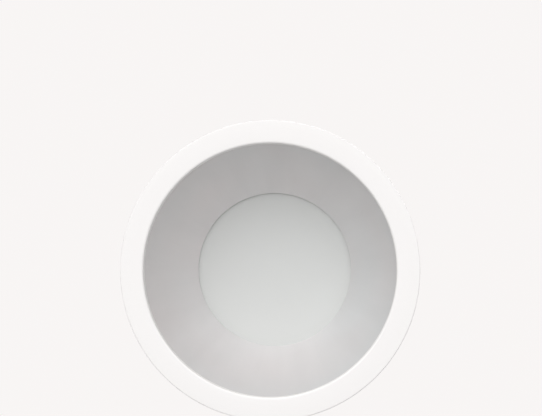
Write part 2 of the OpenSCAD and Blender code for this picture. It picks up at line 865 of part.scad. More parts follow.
module driver_case() {
    color([0.9, 0.9, 0.9])
        difference() {
            union() {
                difference() {
                    translate([x_driver_mid, 0, z_box])
                        linear_extrude(box_h)
                            rounded(driver_l, box_w, box_corner_r);
                    translate([x_driver_mid, 0, z_floor])
                        linear_extrude(box_h)
                            rounded(driver_l - 2 * box_wall, box_w - 2 * box_wall, box_corner_r - box_wall);
                }
                at_driver_posts()
                    translate([0, 0, z_box])
                        cylinder(r = post_r, h = box_h - cover_lip_h, $fn = 32);
                for (p = driver_board_posts)
                    translate([p[0], p[1], z_box])
                        cylinder(r = driver_post_r, h = z_driver_board - z_box, $fn = 32);
            }
            translate([0, 0, z_box - cut])
                cylinder(r = lead_bore_r + fit, h = box_wall + 2 * cut, $fn = 48);
            for (p = [rivets[0], rivets[1]])
                translate([p[0], p[1], z_box - cut])
                    cylinder(r = rivet_r + slip, h = box_wall + 2 * cut, $fn = 32);
            at_driver_posts()
                translate([0, 0, z_box_top - cover_thread])
                    cylinder(r = cover_screw_d / 2 + slip, h = cover_thread, $fn = 32);
            for (p = driver_board_posts)
                translate([p[0], p[1], z_driver_board - small_thread])
                    cylinder(r = small_screw_d / 2 + slip, h = small_thread + cut, $fn = 24);
            supply_holes();
        }
}

module driver_cover() {
    lip_l = driver_l - 2 * box_wall - 2 * fit;
    lip_w = box_w - 2 * box_wall - 2 * fit;
    lip_t = 1.2;
    color([0.9, 0.9, 0.9])
        difference() {
            union() {
                translate([x_driver_mid, 0, z_box_top])
                    linear_extrude(box_wall)
                        rounded(driver_l, box_w, box_corner_r);
                translate([x_driver_mid, 0, z_box_top - cover_lip_h])
                    linear_extrude(cover_lip_h)
                        difference() {
                            rounded(lip_l, lip_w, box_corner_r - box_wall);
                            rounded(lip_l - 2 * lip_t, lip_w - 2 * lip_t, 0.6);
                        }
                at_driver_posts()
                    translate([0, 0, z_box_top - cover_lip_h])
                        cylinder(r = post_r, h = cover_lip_h, $fn = 32);
            }
            at_driver_posts()
                translate([0, 0, z_box_top - cover_lip_h - cut])
                    cylinder(r = cover_screw_d / 2 + fit, h = cover_lip_h + box_wall + 2 * cut, $fn = 32);
        }
}

module driver_cover_screws() {
    color(steel)
        at_driver_posts()
            translate([0, 0, z_box_top + box_wall])
                screw(cover_screw_d, box_wall + cover_thread - screw_end);
}

module driver_board() {
    color([0.1, 0.4, 0.22])
        translate([0, 0, z_driver_board])
            linear_extrude(z_parts - z_driver_board)
                difference() {
                    translate([driver_board_x[0], -driver_board_half])
                        square([driver_board_x[1] - driver_board_x[0], 2 * driver_board_half]);
                    circle(lead_notch_r, $fn = 48);
                    translate([0, -lead_notch_r])
                        square([driver_board_x[1] + cut, 2 * lead_notch_r]);
                    for (p = driver_board_posts)
                        translate(p)
                            circle(small_screw_d / 2 + fit, $fn = 24);
                }
}

module driver_board_screws() {
    color(steel)
        for (p = driver_board_posts)
            translate([p[0], p[1], z_parts])
                screw(small_screw_d, z_parts - z_driver_board + small_thread - screw_end);
}

module transformer_core() {
    color([0.2, 0.2, 0.22])
        translate([transformer_x, 0, z_parts])
            difference() {
                translate([-core_l / 2, -core_w / 2, 0])
                    cube([core_l, core_w, core_h]);
                for (y = [-core_leg_half - window_w, core_leg_half])
                    translate([-core_l / 2 - cut, y, (core_h - window_h) / 2])
                        cube([core_l + 2 * cut, window_w, window_h]);
            }
}

module transformer_winding() {
    color([0.93, 0.78, 0.3])
        translate([transformer_x, 0, z_parts + (core_h - window_h) / 2])
            linear_extrude(window_h - winding_gap)
                difference() {
                    rounded(core_l + 2 * wound_t, 2 * (core_leg_half + wound_t + winding_gap), 3);
                    square([core_l + 2 * winding_gap, 2 * (core_leg_half + winding_gap)], center = true);
                }
}

module bulk_capacitors() {
    color([0.15, 0.2, 0.4])
        for (y = [-capacitor_y, capacitor_y])
            translate([capacitor_x, y, z_parts])
                cylinder(r = capacitor_r, h = capacitor_h, $fn = 48);
}

module filter_capacitor() {
    color([0.9, 0.65, 0.1])
        translate([driver_board_x[1] - 9.5, 2 + filter_size[1] / 2 - driver_board_half, z_parts])
            linear_extrude(filter_size[2])
                rounded(filter_size[0], filter_size[1], 1);
}

module input_choke() {
    color([0.7, 0.35, 0.15])
        translate([near_post[0] - 8, 5 - near_post[1], z_parts + wound_r])
            rotate_extrude($fn = 48)
                translate([choke_r, 0])
                    circle(wound_r, $fn = 24);
}

module power_chips() {
    color(dark)
        for (c = upright_chips)
            translate([c[0] - c[1] / 2, driver_board_half - 2.8 - upright_w, z_parts])
                cube([c[1], upright_w, c[2]]);
}

module fuse() {
    color([0.85, 0.85, 0.8])
        translate([driver_board_x[1] - 2 - fuse_l, driver_board_half - 2.4 - fuse_r, z_parts + fuse_r])
            rotate([0, 90, 0])
                cylinder(r = fuse_r, h = fuse_l, $fn = 32);
}

// Terminals on the driver's board, the supply's and the light's: [lead places, side margin]
module board_terminals() {
    hole_l = lead_in + screw_end;
    color([0.2, 0.55, 0.3])
        for (t = [[supply_y, supply_side], [[-lead_y, lead_y], light_side]])
            difference() {
                translate([board_terminal_x - board_terminal_l, t[0][0] - t[1], z_parts])
                    cube([board_terminal_l, t[0][1] - t[0][0] + 2 * t[1], board_terminal_h]);
                for (y = t[0])
                    translate([board_terminal_x - hole_l, y, z_lead])
                        rotate([0, 90, 0])
                            cylinder(r = lead_d / 2 + slip, h = hole_l + cut, $fn = 24);
            }
}

// A quarter bend in the plane of X and Z: from +Z round to -X, its centre at the origin
module lead_bend(r) {
    rotate([90, 0, 0])
        rotate_extrude(angle = 90)
            translate([r, 0])
                circle(lead_d / 2, $fn = 24);
}

module led_leads() {
    bend_low = z_board_lead + board_bend_r;
    bend_high = z_lead - lead_bend_r;
    end_high = board_terminal_x - lead_in;
    end_low = plug_x[0] + lead_in;
    color([0.75, 0.1, 0.1])
        for (y = [-lead_y, lead_y])
            translate([0, y, 0]) {
                translate([0, 0, bend_low])
                    cylinder(r = lead_d / 2, h = bend_high - bend_low, $fn = 24);
                translate([-lead_bend_r, 0, bend_high])
                    lead_bend(lead_bend_r);
                translate([end_high, 0, z_lead])
                    rotate([0, 90, 0])
                        cylinder(r = lead_d / 2, h = -lead_bend_r - end_high, $fn = 24);
                translate([board_bend_r, 0, bend_low])
                    rotate([0, 180, 0])
                        lead_bend(board_bend_r);
                translate([board_bend_r, 0, z_board_lead])
                    rotate([0, 90, 0])
                        cylinder(r = lead_d / 2, h = end_low - board_bend_r, $fn = 24);
            }
}

module supply_leads() {
    x0 = board_terminal_x - lead_in;
    color([0.5, 0.3, 0.15])
        for (y = supply_y)
            translate([x0, y, z_lead])
                rotate([0, 90, 0])
                    cylinder(r = lead_d / 2, h = terminal_x[0] + lead_in - x0, $fn = 24);
}

module lead_grommet() {
    lip_t = 1.4;
    color(dark)
        difference() {
            union() {
                translate([0, 0, z_plate])
                    cylinder(r = lead_bore_r, h = z_floor - z_plate, $fn = 48);
                translate([0, 0, z_floor])
                    cylinder(r = lead_bore_r + 2, h = lip_t, $fn = 48);
            }
            translate([0, 0, z_plate - cut])
                cylinder(r = lead_y + lead_d / 2 + 0.5, h = z_floor - z_plate + lip_t + 2 * cut, $fn = 32);
        }
}

module mounting_rivets() {
    color(steel)
        for (p = rivets)
            translate([p[0], p[1], z_plate]) {
                cylinder(r = rivet_r, h = z_floor - z_plate, $fn = 32);
                translate([0, 0, z_floor - z_plate])
                    cylinder(r = rivet_head_r, h = rivet_head_t, $fn = 32);
            }
}

// A hinge barrel along X between two places
module barrel(x0, x1, hole_r) {
    translate([x0, hinge_y, hinge_z])
        rotate([0, 90, 0])
            difference() {
                cylinder(r = knuckle_r, h = x1 - x0, $fn = 32);
                translate([0, 0, -cut])
                    cylinder(r = hole_r, h = x1 - x0 + 2 * cut, $fn = 32);
            }
}

module junction_box() {
    color([0.9, 0.9, 0.9]) {
        difference() {
            union() {
                translate([x_junction_mid, 0, z_box])
                    linear_extrude(box_h)
                        difference() {
                            rounded(junction_l, box_w, box_corner_r);
                            rounded(junction_l - 2 * box_wall, box_w - 2 * box_wall, box_corner_r - box_wall);
                        }
                translate([x_junction_mid, 0, z_box])
                    linear_extrude(box_wall)
                        rounded(junction_l, box_w, box_corner_r);
                translate([clamp_x - clamp_l / 2, -clamp_half, z_box])
                    cube([clamp_l, 2 * clamp_half, z_clamp - z_box]);
            }
            supply_holes();
            for (p = [rivets[2], rivets[3]])
                translate([p[0], p[1], z_box - cut])
                    cylinder(r = rivet_r + slip, h = box_wall + 2 * cut, $fn = 32);
            for (y = block_screw_y)
                translate([block_screw_x, y, z_box - cut])
                    cylinder(r = small_screw_d / 2 + slip, h = box_wall + 2 * cut, $fn = 24);
            for (y = [-clamp_screw_y, clamp_screw_y])
                translate([clamp_x, y, z_clamp - clamp_thread - screw_end])
                    cylinder(r = clamp_screw_d / 2 + slip, h = clamp_thread + screw_end + cut, $fn = 32);
            translate([x_junction_end - box_wall - cut, 0, z_cable])
                rotate([0, 90, 0])
                    cylinder(r = grommet_waist_r + slip, h = box_wall + 2 * cut, $fn = 48);
        }
        for (x = [[knuckle_x[0], door_x[0] - knuckle_gap], [door_x[1] + knuckle_gap, knuckle_x[1]]]) {
            barrel(x[0], x[1], door_pin_r + slip);
            translate([x[0], box_w / 2 - 0.5, hinge_z - knuckle_r])
                cube([x[1] - x[0], 1.4, knuckle_r - 0.2]);
        }
    }
}

module junction_door() {
    edge_y = box_w / 2 - 0.1;
    lip_y = box_w / 2 + 0.3;
    lip_t = 1.3;
    tab_half = 12;
    tab_h = 6.5;
    door_l = door_x[1] - door_x[0];
    color([0.86, 0.87, 0.88]) {
        translate([x_junction, -lip_y, z_door])
            cube([junction_l + 0.5, lip_y + edge_y, door_t]);
        translate([x_junction_mid - tab_half, -lip_y - lip_t, z_door - tab_h])
            cube([2 * tab_half, lip_t, tab_h + door_t]);
        difference() {
            translate([door_x[0], edge_y - 0.5, z_door])
                cube([door_l, hinge_y - edge_y + 0.5, door_t]);
            translate([door_x[0] - cut, hinge_y, hinge_z])
                rotate([0, 90, 0])
                    cylinder(r = door_pin_r + run, h = door_l + 2 * cut, $fn = 32);
        }
        barrel(door_x[0], door_x[1], door_pin_r + run);
    }
}

module door_pin() {
    proud = 0.8;
    color(steel)
        translate([knuckle_x[0] - proud, hinge_y, hinge_z])
            rotate([0, 90, 0])
                cylinder(r = door_pin_r, h = knuckle_x[1] - knuckle_x[0] + 2 * proud, $fn = 32);
}

module terminal_block() {
    y0 = terminal_y[0] - terminal_side;
    hole_l = lead_in + screw_end;
    color([0.92, 0.92, 0.88])
        difference() {
            translate([terminal_x[0], y0, z_floor])
                cube([terminal_x[1] - terminal_x[0], terminal_y[2] + terminal_side - y0, terminal_h]);
            for (y = terminal_y) {
                translate([terminal_x[0] - cut, y, z_lead])
                    rotate([0, 90, 0])
                        cylinder(r = lead_d / 2 + slip, h = hole_l + cut, $fn = 24);
                translate([terminal_x[1] - hole_l, y, z_lead])
                    rotate([0, 90, 0])
                        cylinder(r = 1.9, h = hole_l + cut, $fn = 24);
                for (x = terminal_screw_x)
                    translate([x, y, z_terminal_screw])
                        cylinder(r = terminal_screw_r + slip, h = terminal_h, $fn = 32);
            }
            for (y = block_screw_y)
                translate([block_screw_x, y, z_floor - cut]) {
                    cylinder(r = small_screw_d / 2 + fit, h = terminal_h, $fn = 24);
                    translate([0, 0, cut + block_web])
                        cylinder(r = head_ratio * small_screw_d + fit, h = terminal_h, $fn = 32);
                }
        }
}

module terminal_block_screws() {
    color(steel)
        for (y = block_screw_y)
            translate([block_screw_x, y, z_floor + block_web])
                screw(small_screw_d, block_web + z_floor - z_plate - screw_end);
}

module terminal_screws() {
    head_h = 2;
    slot = [3.2, 0.6, 0.8];
    color(steel)
        for (y = terminal_y, x = terminal_screw_x)
            translate([x, y, z_terminal_screw])
                difference() {
                    cylinder(r = terminal_screw_r, h = head_h, $fn = 32);
                    translate([-slot[0] / 2, -slot[1] / 2, head_h - slot[2]])
                        cube([slot[0], slot[1], slot[2] + cut]);
                }
}

module cable_clamp() {
    color([0.25, 0.25, 0.27])
        difference() {
            translate([clamp_x - clamp_l / 2, -clamp_half, z_clamp])
                cube([clamp_l, 2 * clamp_half, clamp_top - z_clamp]);
            translate([clamp_x - clamp_l / 2 - cut, 0, z_cable])
                rotate([0, 90, 0])
                    cylinder(r = cable_r, h = clamp_l + 2 * cut, $fn = 48);
            translate([clamp_x - clamp_l / 2 - cut, -cable_r, z_clamp - cut])
                cube([clamp_l + 2 * cut, 2 * cable_r, z_cable - z_clamp + cut]);
            for (y = [-clamp_screw_y, clamp_screw_y])
                translate([clamp_x, y, z_clamp - cut])
                    cylinder(r = clamp_screw_d / 2 + fit, h = clamp_top - z_clamp + 2 * cut, $fn = 32);
        }
}

module cable_clamp_screws() {
    color(steel)
        for (y = [-clamp_screw_y, clamp_screw_y])
            translate([clamp_x, y, clamp_top])
                screw(clamp_screw_d, clamp_top - z_clamp + clamp_thread);
}

module cable_grommet() {
    x_in = x_junction_end - box_wall - grommet_lip_t;
    color(dark)
        translate([x_in, 0, z_cable])
            rotate([0, 90, 0])
                difference() {
                    union() {
                        cylinder(r = grommet_lip_r, h = grommet_lip_t, $fn = 48);
                        cylinder(r = grommet_waist_r, h = box_wall + 2 * grommet_lip_t, $fn = 48);
                        translate([0, 0, grommet_lip_t + box_wall])
                            cylinder(r = grommet_lip_r, h = grommet_lip_t, $fn = 48);
                    }
                    translate([0, 0, -cut])
                        cylinder(r = cable_r, h = box_wall + 2 * grommet_lip_t + 2 * cut, $fn = 48);
                }
}

trim_ring();
mounting_collar();
ceiling_gasket();
reflector_cone();
lens_gasket();
diffuser_lens();
mixing_cup();
led_board();
led_chips();
led_connector();
led_board_screws();
thermal_pad();
heat_sink();
housing_gasket();
rear_housing();
trim_screws();
heat_sink_screws();
clip_bracket(1);  // clip_bracket_1
clip_bracket(2);  // clip_bracket_2
clip_bracket(3);  // clip_bracket_3
clip_pins();
clip_bracket_screws();
clip_spring(1);  // clip_spring_1
clip_spring(2);  // clip_spring_2
clip_spring(3);  // clip_spring_3
clip_arm(1);  // clip_arm_1
clip_arm(2);  // clip_arm_2
clip_arm(3);  // clip_arm_3
clip_foot(1);  // clip_foot_1
clip_foot(2);  // clip_foot_2
clip_foot(3);  // clip_foot_3
driver_plate();
driver_plate_screws();
driver_case();
driver_cover();
driver_cover_screws();
driver_board();
driver_board_screws();
transformer_core();
transformer_winding();
bulk_capacitors();
filter_capacitor();
input_choke();
power_chips();
fuse();
board_terminals();
led_leads();
supply_leads();
lead_grommet();
mounting_rivets();
junction_box();
junction_door();
door_pin();
terminal_block();
terminal_screws();
terminal_block_screws();
cable_clamp();
cable_clamp_screws();
cable_grommet();
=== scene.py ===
"""A recessed ceiling light: finishes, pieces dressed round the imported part, studio and camera."""

from __future__ import annotations

import json
import logging
import math
from collections.abc import Callable, Iterable, Sequence
from dataclasses import dataclass
from enum import Enum

import bmesh
import bpy
from mathutils import Matrix, Vector

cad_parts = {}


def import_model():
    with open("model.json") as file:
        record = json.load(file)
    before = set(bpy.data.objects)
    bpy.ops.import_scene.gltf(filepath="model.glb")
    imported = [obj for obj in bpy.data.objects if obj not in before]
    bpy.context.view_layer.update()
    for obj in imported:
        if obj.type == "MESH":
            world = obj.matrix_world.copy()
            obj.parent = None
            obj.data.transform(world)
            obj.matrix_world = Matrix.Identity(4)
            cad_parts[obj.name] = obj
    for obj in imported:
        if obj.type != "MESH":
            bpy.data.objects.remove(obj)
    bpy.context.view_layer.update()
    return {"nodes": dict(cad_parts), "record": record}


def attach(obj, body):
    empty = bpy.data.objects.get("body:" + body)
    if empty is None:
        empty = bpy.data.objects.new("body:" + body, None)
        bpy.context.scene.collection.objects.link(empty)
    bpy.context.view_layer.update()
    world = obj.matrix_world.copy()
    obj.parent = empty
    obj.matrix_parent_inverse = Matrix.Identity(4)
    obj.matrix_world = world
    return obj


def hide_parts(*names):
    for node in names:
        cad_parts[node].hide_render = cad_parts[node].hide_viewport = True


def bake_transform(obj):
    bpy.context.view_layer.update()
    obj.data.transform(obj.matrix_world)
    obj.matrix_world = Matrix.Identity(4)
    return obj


log = logging.getLogger("recessed_light")

Colour = tuple[float, float, float]
Point = tuple[float, float, float]
Flat = tuple[float, float]
Spot = tuple[Point, Point]

ROOT = "root"
COAT = "_finish"
MM = 0.001
TINY = 1e-7
CLIP_ANGLES = (90.0, 210.0, 330.0)
SCREW_ANGLES = (30.0, 150.0, 270.0)
BOARD_SCREW_ANGLES = (60.0, 180.0, 300.0)
POSTS = [(x * MM, y * MM) for y in (35, -35) for x in (22, -22)]


class Value:
    """A node's output that can stand in a Python expression."""

    def __init__(self, graph: Graph, socket: bpy.types.NodeSocket) -> None:
        """Wraps one output socket of a node in graph."""
        self.graph = graph
        self.socket = socket

    def __add__(self, other: Value | float) -> Value:
        """Adds."""
        return self.graph.math("ADD", self, other)

    __radd__ = __add__

    def __sub__(self, other: Value | float) -> Value:
        """Takes other away."""
        return self.graph.math("SUBTRACT", self, other)

    def __rsub__(self, other: float) -> Value:
        """Is taken away from other."""
        return self.graph.math("SUBTRACT", other, self)

    def __mul__(self, other: Value | float) -> Value:
        """Multiplies."""
        return self.graph.math("MULTIPLY", self, other)

    __rmul__ = __mul__

    def __truediv__(self, other: Value | float) -> Value:
        """Divides."""
        return self.graph.math("DIVIDE", self, other)


class Graph:
    """A node tree that is filled from Python."""

    def __init__(self, tree: bpy.types.NodeTree) -> None:
        """Wraps a shader or geometry tree."""
        self.tree = tree

    def node(
        self,
        kind: str,
        settings: dict[str, object] | None = None,
        sockets: dict[str | int, object] | None = None,
    ) -> bpy.types.Node:
        """Adds one node.

        Args:
            kind: The node's type.
            settings: Its own properties, set first.
            sockets: Values or links of its inputs, by name or place.

        Returns:
            The node.
        """
        node = self.tree.nodes.new(kind)
        for name, value in (settings or {}).items():
            setattr(node, name, value)
        for name, value in (sockets or {}).items():
            if isinstance(value, Value):
                self.tree.links.new(value.socket, node.inputs[name])
            else:
                node.inputs[name].default_value = value
        return node

    def value(
        self,
        kind: str,
        settings: dict[str, object] | None = None,
        sockets: dict[str | int, object] | None = None,
        output: str | int = 0,
    ) -> Value:
        """Adds one node, as node does, and gives its output of that name or place."""
        return Value(self, self.node(kind, settings, sockets).outputs[output])

    def math(self, operation: str, *terms: Value | float) -> Value:
        """Works with numbers: one Math node on terms."""
        return self.value("ShaderNodeMath", {"operation": operation}, dict(enumerate(terms)))

    def vector(self, operation: str, *terms: Value | Point) -> Value:
        """Works with vectors: one Vector Math node on terms."""
        return self.value("ShaderNodeVectorMath", {"operation": operation}, dict(enumerate(terms)))

    def combine(self, x: Value | float, y: Value | float, z: Value | float) -> Value:
        """Makes a vector of three numbers."""
        return self.value("ShaderNodeCombineXYZ", None, {"X": x, "Y": y, "Z": z})

    def polar(self, angle: Value, radius: Value, height: Value) -> Value:
        """Makes the place at an angle, a radius and a height."""
        return self.combine(self.math("COSINE", angle) * radius, self.math("SINE", angle) * radius, height)

    def split(self, vector: Value) -> tuple[Value, Value, Value]:
        """Takes a vector apart into three numbers."""
        node = self.node("ShaderNodeSeparateXYZ", None, {0: vector})
        return tuple(Value(self, part) for part in node.outputs)

    def mix(
        self, share: Value | float, low: Value | Colour, high: Value | Colour, blend: str = "MIX"
    ) -> Value:
        """Mixes two colours.

        Args:
            share: How much of high there is.
            low: The colour where share is 0.
            high: The colour where share is 1.
            blend: How high is laid over low.

        Returns:
            The mixed colour.
        """
        low, high = (c if isinstance(c, Value) else (*c, 1.0) for c in (low, high))
        settings = {"data_type": "RGBA", "blend_type": blend}
        factor, first, second, result = 0, 6, 7, 2
        return self.value("ShaderNodeMix", settings, {factor: share, first: low, second: high}, result)

    def wave(self, number: Value, length: float) -> Value:
        """Runs from 0 to 1 and back over each length of number."""
        return self.math("PINGPONG", number, length * 0.5) / (length * 0.5)

    def noise(self, where: Value, scale: float, detail: float = 2.0) -> Value:
        """Cloudy noise from 0 to 1, with about scale clouds in a metre."""
        return self.value("ShaderNodeTexNoise", None, {"Vector": where, "Scale": scale, "Detail": detail})

    def cells(self, where: Value, scale: float, output: str = "Distance") -> Value:
        """Cells round scattered points: the distance to the nearest, or its colour."""
        return self.value("ShaderNodeTexVoronoi", None, {"Vector": where, "Scale": scale}, output)


class Grain(Enum):
    """What the fine relief of a finish looks like."""

    SPARK = "even, as a moulding from a spark-eroded tool"
    PEEL = "softly waved, as powder coat"
    CAST = "pitted, as a blasted casting"
    DRAWN = "fine lines along one direction"
    FOAM = "open bubbles"
    SMOOTH = "hardly any"


@dataclass(frozen=True)
class Look:
    """What a finish hands to the shader."""

    colour: Value
    roughness: Value
    height: Value
    depth: float


@dataclass(frozen=True)
class Finish:
    """A painted, moulded, cast or plated surface.

    Attributes:
        name: The material slot of the record that it finishes.
        colour: Its main colour.
        roughness: Its mean roughness.
        metallic: 1 for bare metal, 0 for all else.
        grain: The look of its fine relief.
        grain_size: The size of that relief, in metres.
        grain_depth: Its depth, in metres.
        drift: How far the colour drifts to either side.
        drift_size: The size of these drifts, in metres.
        wear: How far the roughness drifts to either side.
    """

    name: str
    colour: Colour
    roughness: float
    metallic: float = 0.0
    grain: Grain = Grain.SPARK
    grain_size: float = 0.0006
    grain_depth: float = 0.00003
    drift: float = 0.05
    drift_size: float = 0.02
    wear: float = 0.08

    def shades(self, down: float = 1.0, up: float = 1.0) -> tuple[Colour, Colour]:
        """Gives the darkest shade, so many drifts down, and the palest, so many up."""
        low = tuple(c * (1.0 - down * self.drift) for c in self.colour)
        return low, tuple(min(1.0, c * (1.0 + up * self.drift)) for c in self.colour)

    def worn(self, share: Value) -> Value:
        """Makes the roughness, which drifts with share by wear to either side."""
        return self.roughness + (share - 0.5) * 2.0 * self.wear

    def relief(self, graph: Graph, where: Value) -> Value:
        """Makes the fine relief.

        Args:
            graph: The material's tree.
            where: The place on the surface.

        Returns:
            Its height from 0 to 1.
        """
        scale = 1.0 / self.grain_size
        if self.grain is Grain.CAST:
            pits = graph.cells(where, scale * 0.7)
            return graph.noise(where, scale, 3.0) * 0.6 + graph.math("MINIMUM", pits, 0.5) * 0.8
        if self.grain is Grain.PEEL:
            return graph.noise(where, scale, 0.0)
        if self.grain is Grain.DRAWN:
            stretched = graph.vector("MULTIPLY", where, (1.0, 0.06, 1.0))
            return graph.noise(stretched, scale, 1.0)
        if self.grain is Grain.FOAM:
            return graph.math("SQRT", graph.cells(where, scale))
        if self.grain is Grain.SMOOTH:
            return graph.noise(where, scale * 0.3, 0.0) * 0.5
        return graph.noise(where, scale) * 0.7 + graph.cells(where, scale * 1.6) * 0.3

    def look(self, graph: Graph, where: Value) -> Look:
        """Makes everything that changes over the surface.

        Args:
            graph: The material's tree.
            where: The place on the surface.

        Returns:
            Colour, roughness and relief.
        """
        height = self.relief(graph, where)
        clouds = graph.noise(where, 1.0 / self.drift_size, 3.0)
        colour = graph.mix(clouds * 0.85 + height * 0.15, *self.shades())
        rubbed = graph.noise(where, 1.7 / self.drift_size)
        return Look(colour, self.worn(rubbed), height, self.grain_depth)

    def material(self) -> bpy.types.Material:
        """Builds the material, or finds the one already built.

        Returns:
            The material.
        """
        name = self.name + COAT
        found = bpy.data.materials.get(name)
        if found is not None:
            return found
        made = bpy.data.materials.new(name)
        made.use_nodes = True
        made.diffuse_color = (*self.colour, 1.0)
        graph = Graph(made.node_tree)
        look = self.look(graph, graph.value("ShaderNodeTexCoord", output="Object"))
        bump = graph.value("ShaderNodeBump", None, {"Distance": look.depth, "Height": look.height})
        shader = made.node_tree.nodes["Principled BSDF"].inputs
        shader["Metallic"].default_value = self.metallic
        for name, changing in (("Base Color", look.colour), ("Roughness", look.roughness), ("Normal", bump)):
            made.node_tree.links.new(changing.socket, shader[name])
        return made


@dataclass(frozen=True)
class SpunCone(Finish):
    """The reflector's satin sheet: cloudy, with faint streaks down the cone and spinning lines round it, and
    a painted reflection: a warm and cool tint that is warmer towards -X.
    """

    streak: float = 0.05
    streak_scale: float = 5.5
    cloud_scale: float = 32.0
    ring_scale: float = 1900.0
    # Painted reflection: scale, lean and colours of a warm and cool tint, warmer towards -X
    reflection_scale: float = 22.0
    reflection_lean: float = 4.0
    reflected_cool: Colour = (0.975, 1.0, 1.0)
    reflected_warm: Colour = (1.0, 0.965, 0.96)

    def look(self, graph: Graph, where: Value) -> Look:
        """Makes clouds, streaks towards the lens, spinning lines, and a painted reflection tint that is
        warmer towards -X.

        Args:
            graph: The material's tree.
            where: The place on the surface.

        Returns:
            Colour, roughness and relief.
        """
        x, y, z = graph.split(where)
        radius = graph.math("SQRT", x * x + y * y)
        round_it = graph.combine(x / radius, y / radius, z * 2.0)
        streaks = graph.noise(round_it, self.streak_scale)
        clouds = graph.noise(where, self.cloud_scale, 3.0)
        rings = graph.noise(graph.combine(radius, z, 0.0), self.ring_scale, 1.0)
        # Painted reflection: a warm and cool tint of the room in the metal, leaning warmer towards -X
        reflected_warmth = graph.noise(where, self.reflection_scale, 1.0) - x * self.reflection_lean
        painted_reflection = graph.mix(reflected_warmth, self.reflected_cool, self.reflected_warm)
        tone = graph.mix(streaks * 0.55 + clouds * 0.45, *self.shades())
        colour = graph.mix(1.0, tone, painted_reflection, "MULTIPLY")
        rough = self.worn(clouds) + (streaks - 0.5) * self.streak
        return Look(colour, rough, rings * 0.7 + clouds * 0.3, self.grain_depth)


@dataclass(frozen=True)
class PlatedSheet(Finish):
    """Zinc-plated pressed sheet, with the zinc's pale and dark crystals and faint rolling lines."""

    stretch: Point = (0.05, 1.0, 0.05)

    def look(self, graph: Graph, where: Value) -> Look:
        """Makes crystals and rolling lines.

        Args:
            graph: The material's tree.
            where: The place on the surface.

        Returns:
            Colour, roughness and relief.
        """
        crystals, _, _ = graph.split(graph.cells(where, 1.0 / self.drift_size, "Color"))
        lines = graph.noise(graph.vector("MULTIPLY", where, self.stretch), 1.0 / self.grain_size)
        colour = graph.mix(crystals * 0.75 + lines * 0.25, *self.shades())
        return Look(colour, self.worn(crystals), lines, self.grain_depth)


@dataclass(frozen=True)
class TrackedBoard(Finish):
    """A circuit board: copper tracks show through its mask as paler, raised lines."""

    track: float = 0.0035
    turn_scale: float = 90.0
    rub_scale: float = 300.0
    copper_share: float = 0.55

    def look(self, graph: Graph, where: Value) -> Look:
        """Makes tracks under the mask.

        Args:
            graph: The material's tree.
            where: The place on the surface.

        Returns:
            Colour, roughness and relief.
        """
        squares = graph.vector("SNAP", where, (self.track,) * 3)
        x, y, _ = graph.split(where)
        turned = graph.math("GREATER_THAN", graph.noise(squares, self.turn_scale, 0.0), 0.5)
        lines = turned * graph.wave(x, self.track) + (1.0 - turned) * graph.wave(y, self.track)
        copper = graph.math("GREATER_THAN", lines, 1.0 - self.copper_share)
        rough = self.roughness + (graph.noise(where, self.rub_scale) - 0.5) * self.wear
        return Look(graph.mix(copper, *self.shades(up=3.0)), rough, copper, self.grain_depth)


@dataclass(frozen=True)
class Wrap(Finish):
    """Tape or wire laid in turns: bands up the piece, each with its own tone."""

    turn: float = 0.0025
    seam: float = 6.0

    def look(self, graph: Graph, where: Value) -> Look:
        """Makes the bands.

        Args:
            graph: The material's tree.
            where: The place on the surface.

        Returns:
            Colour, roughness and relief.
        """
        _, _, z = graph.split(where)
        edge = graph.math("POWER", graph.wave(z, self.turn), self.seam)
        drift = graph.noise(where, 1.0 / self.drift_size)
        colour = graph.mix(drift * 0.6 + (1.0 - edge) * 0.4, *self.shades(down=2.0))
        return Look(colour, self.worn(drift), 1.0 - edge, self.grain_depth)


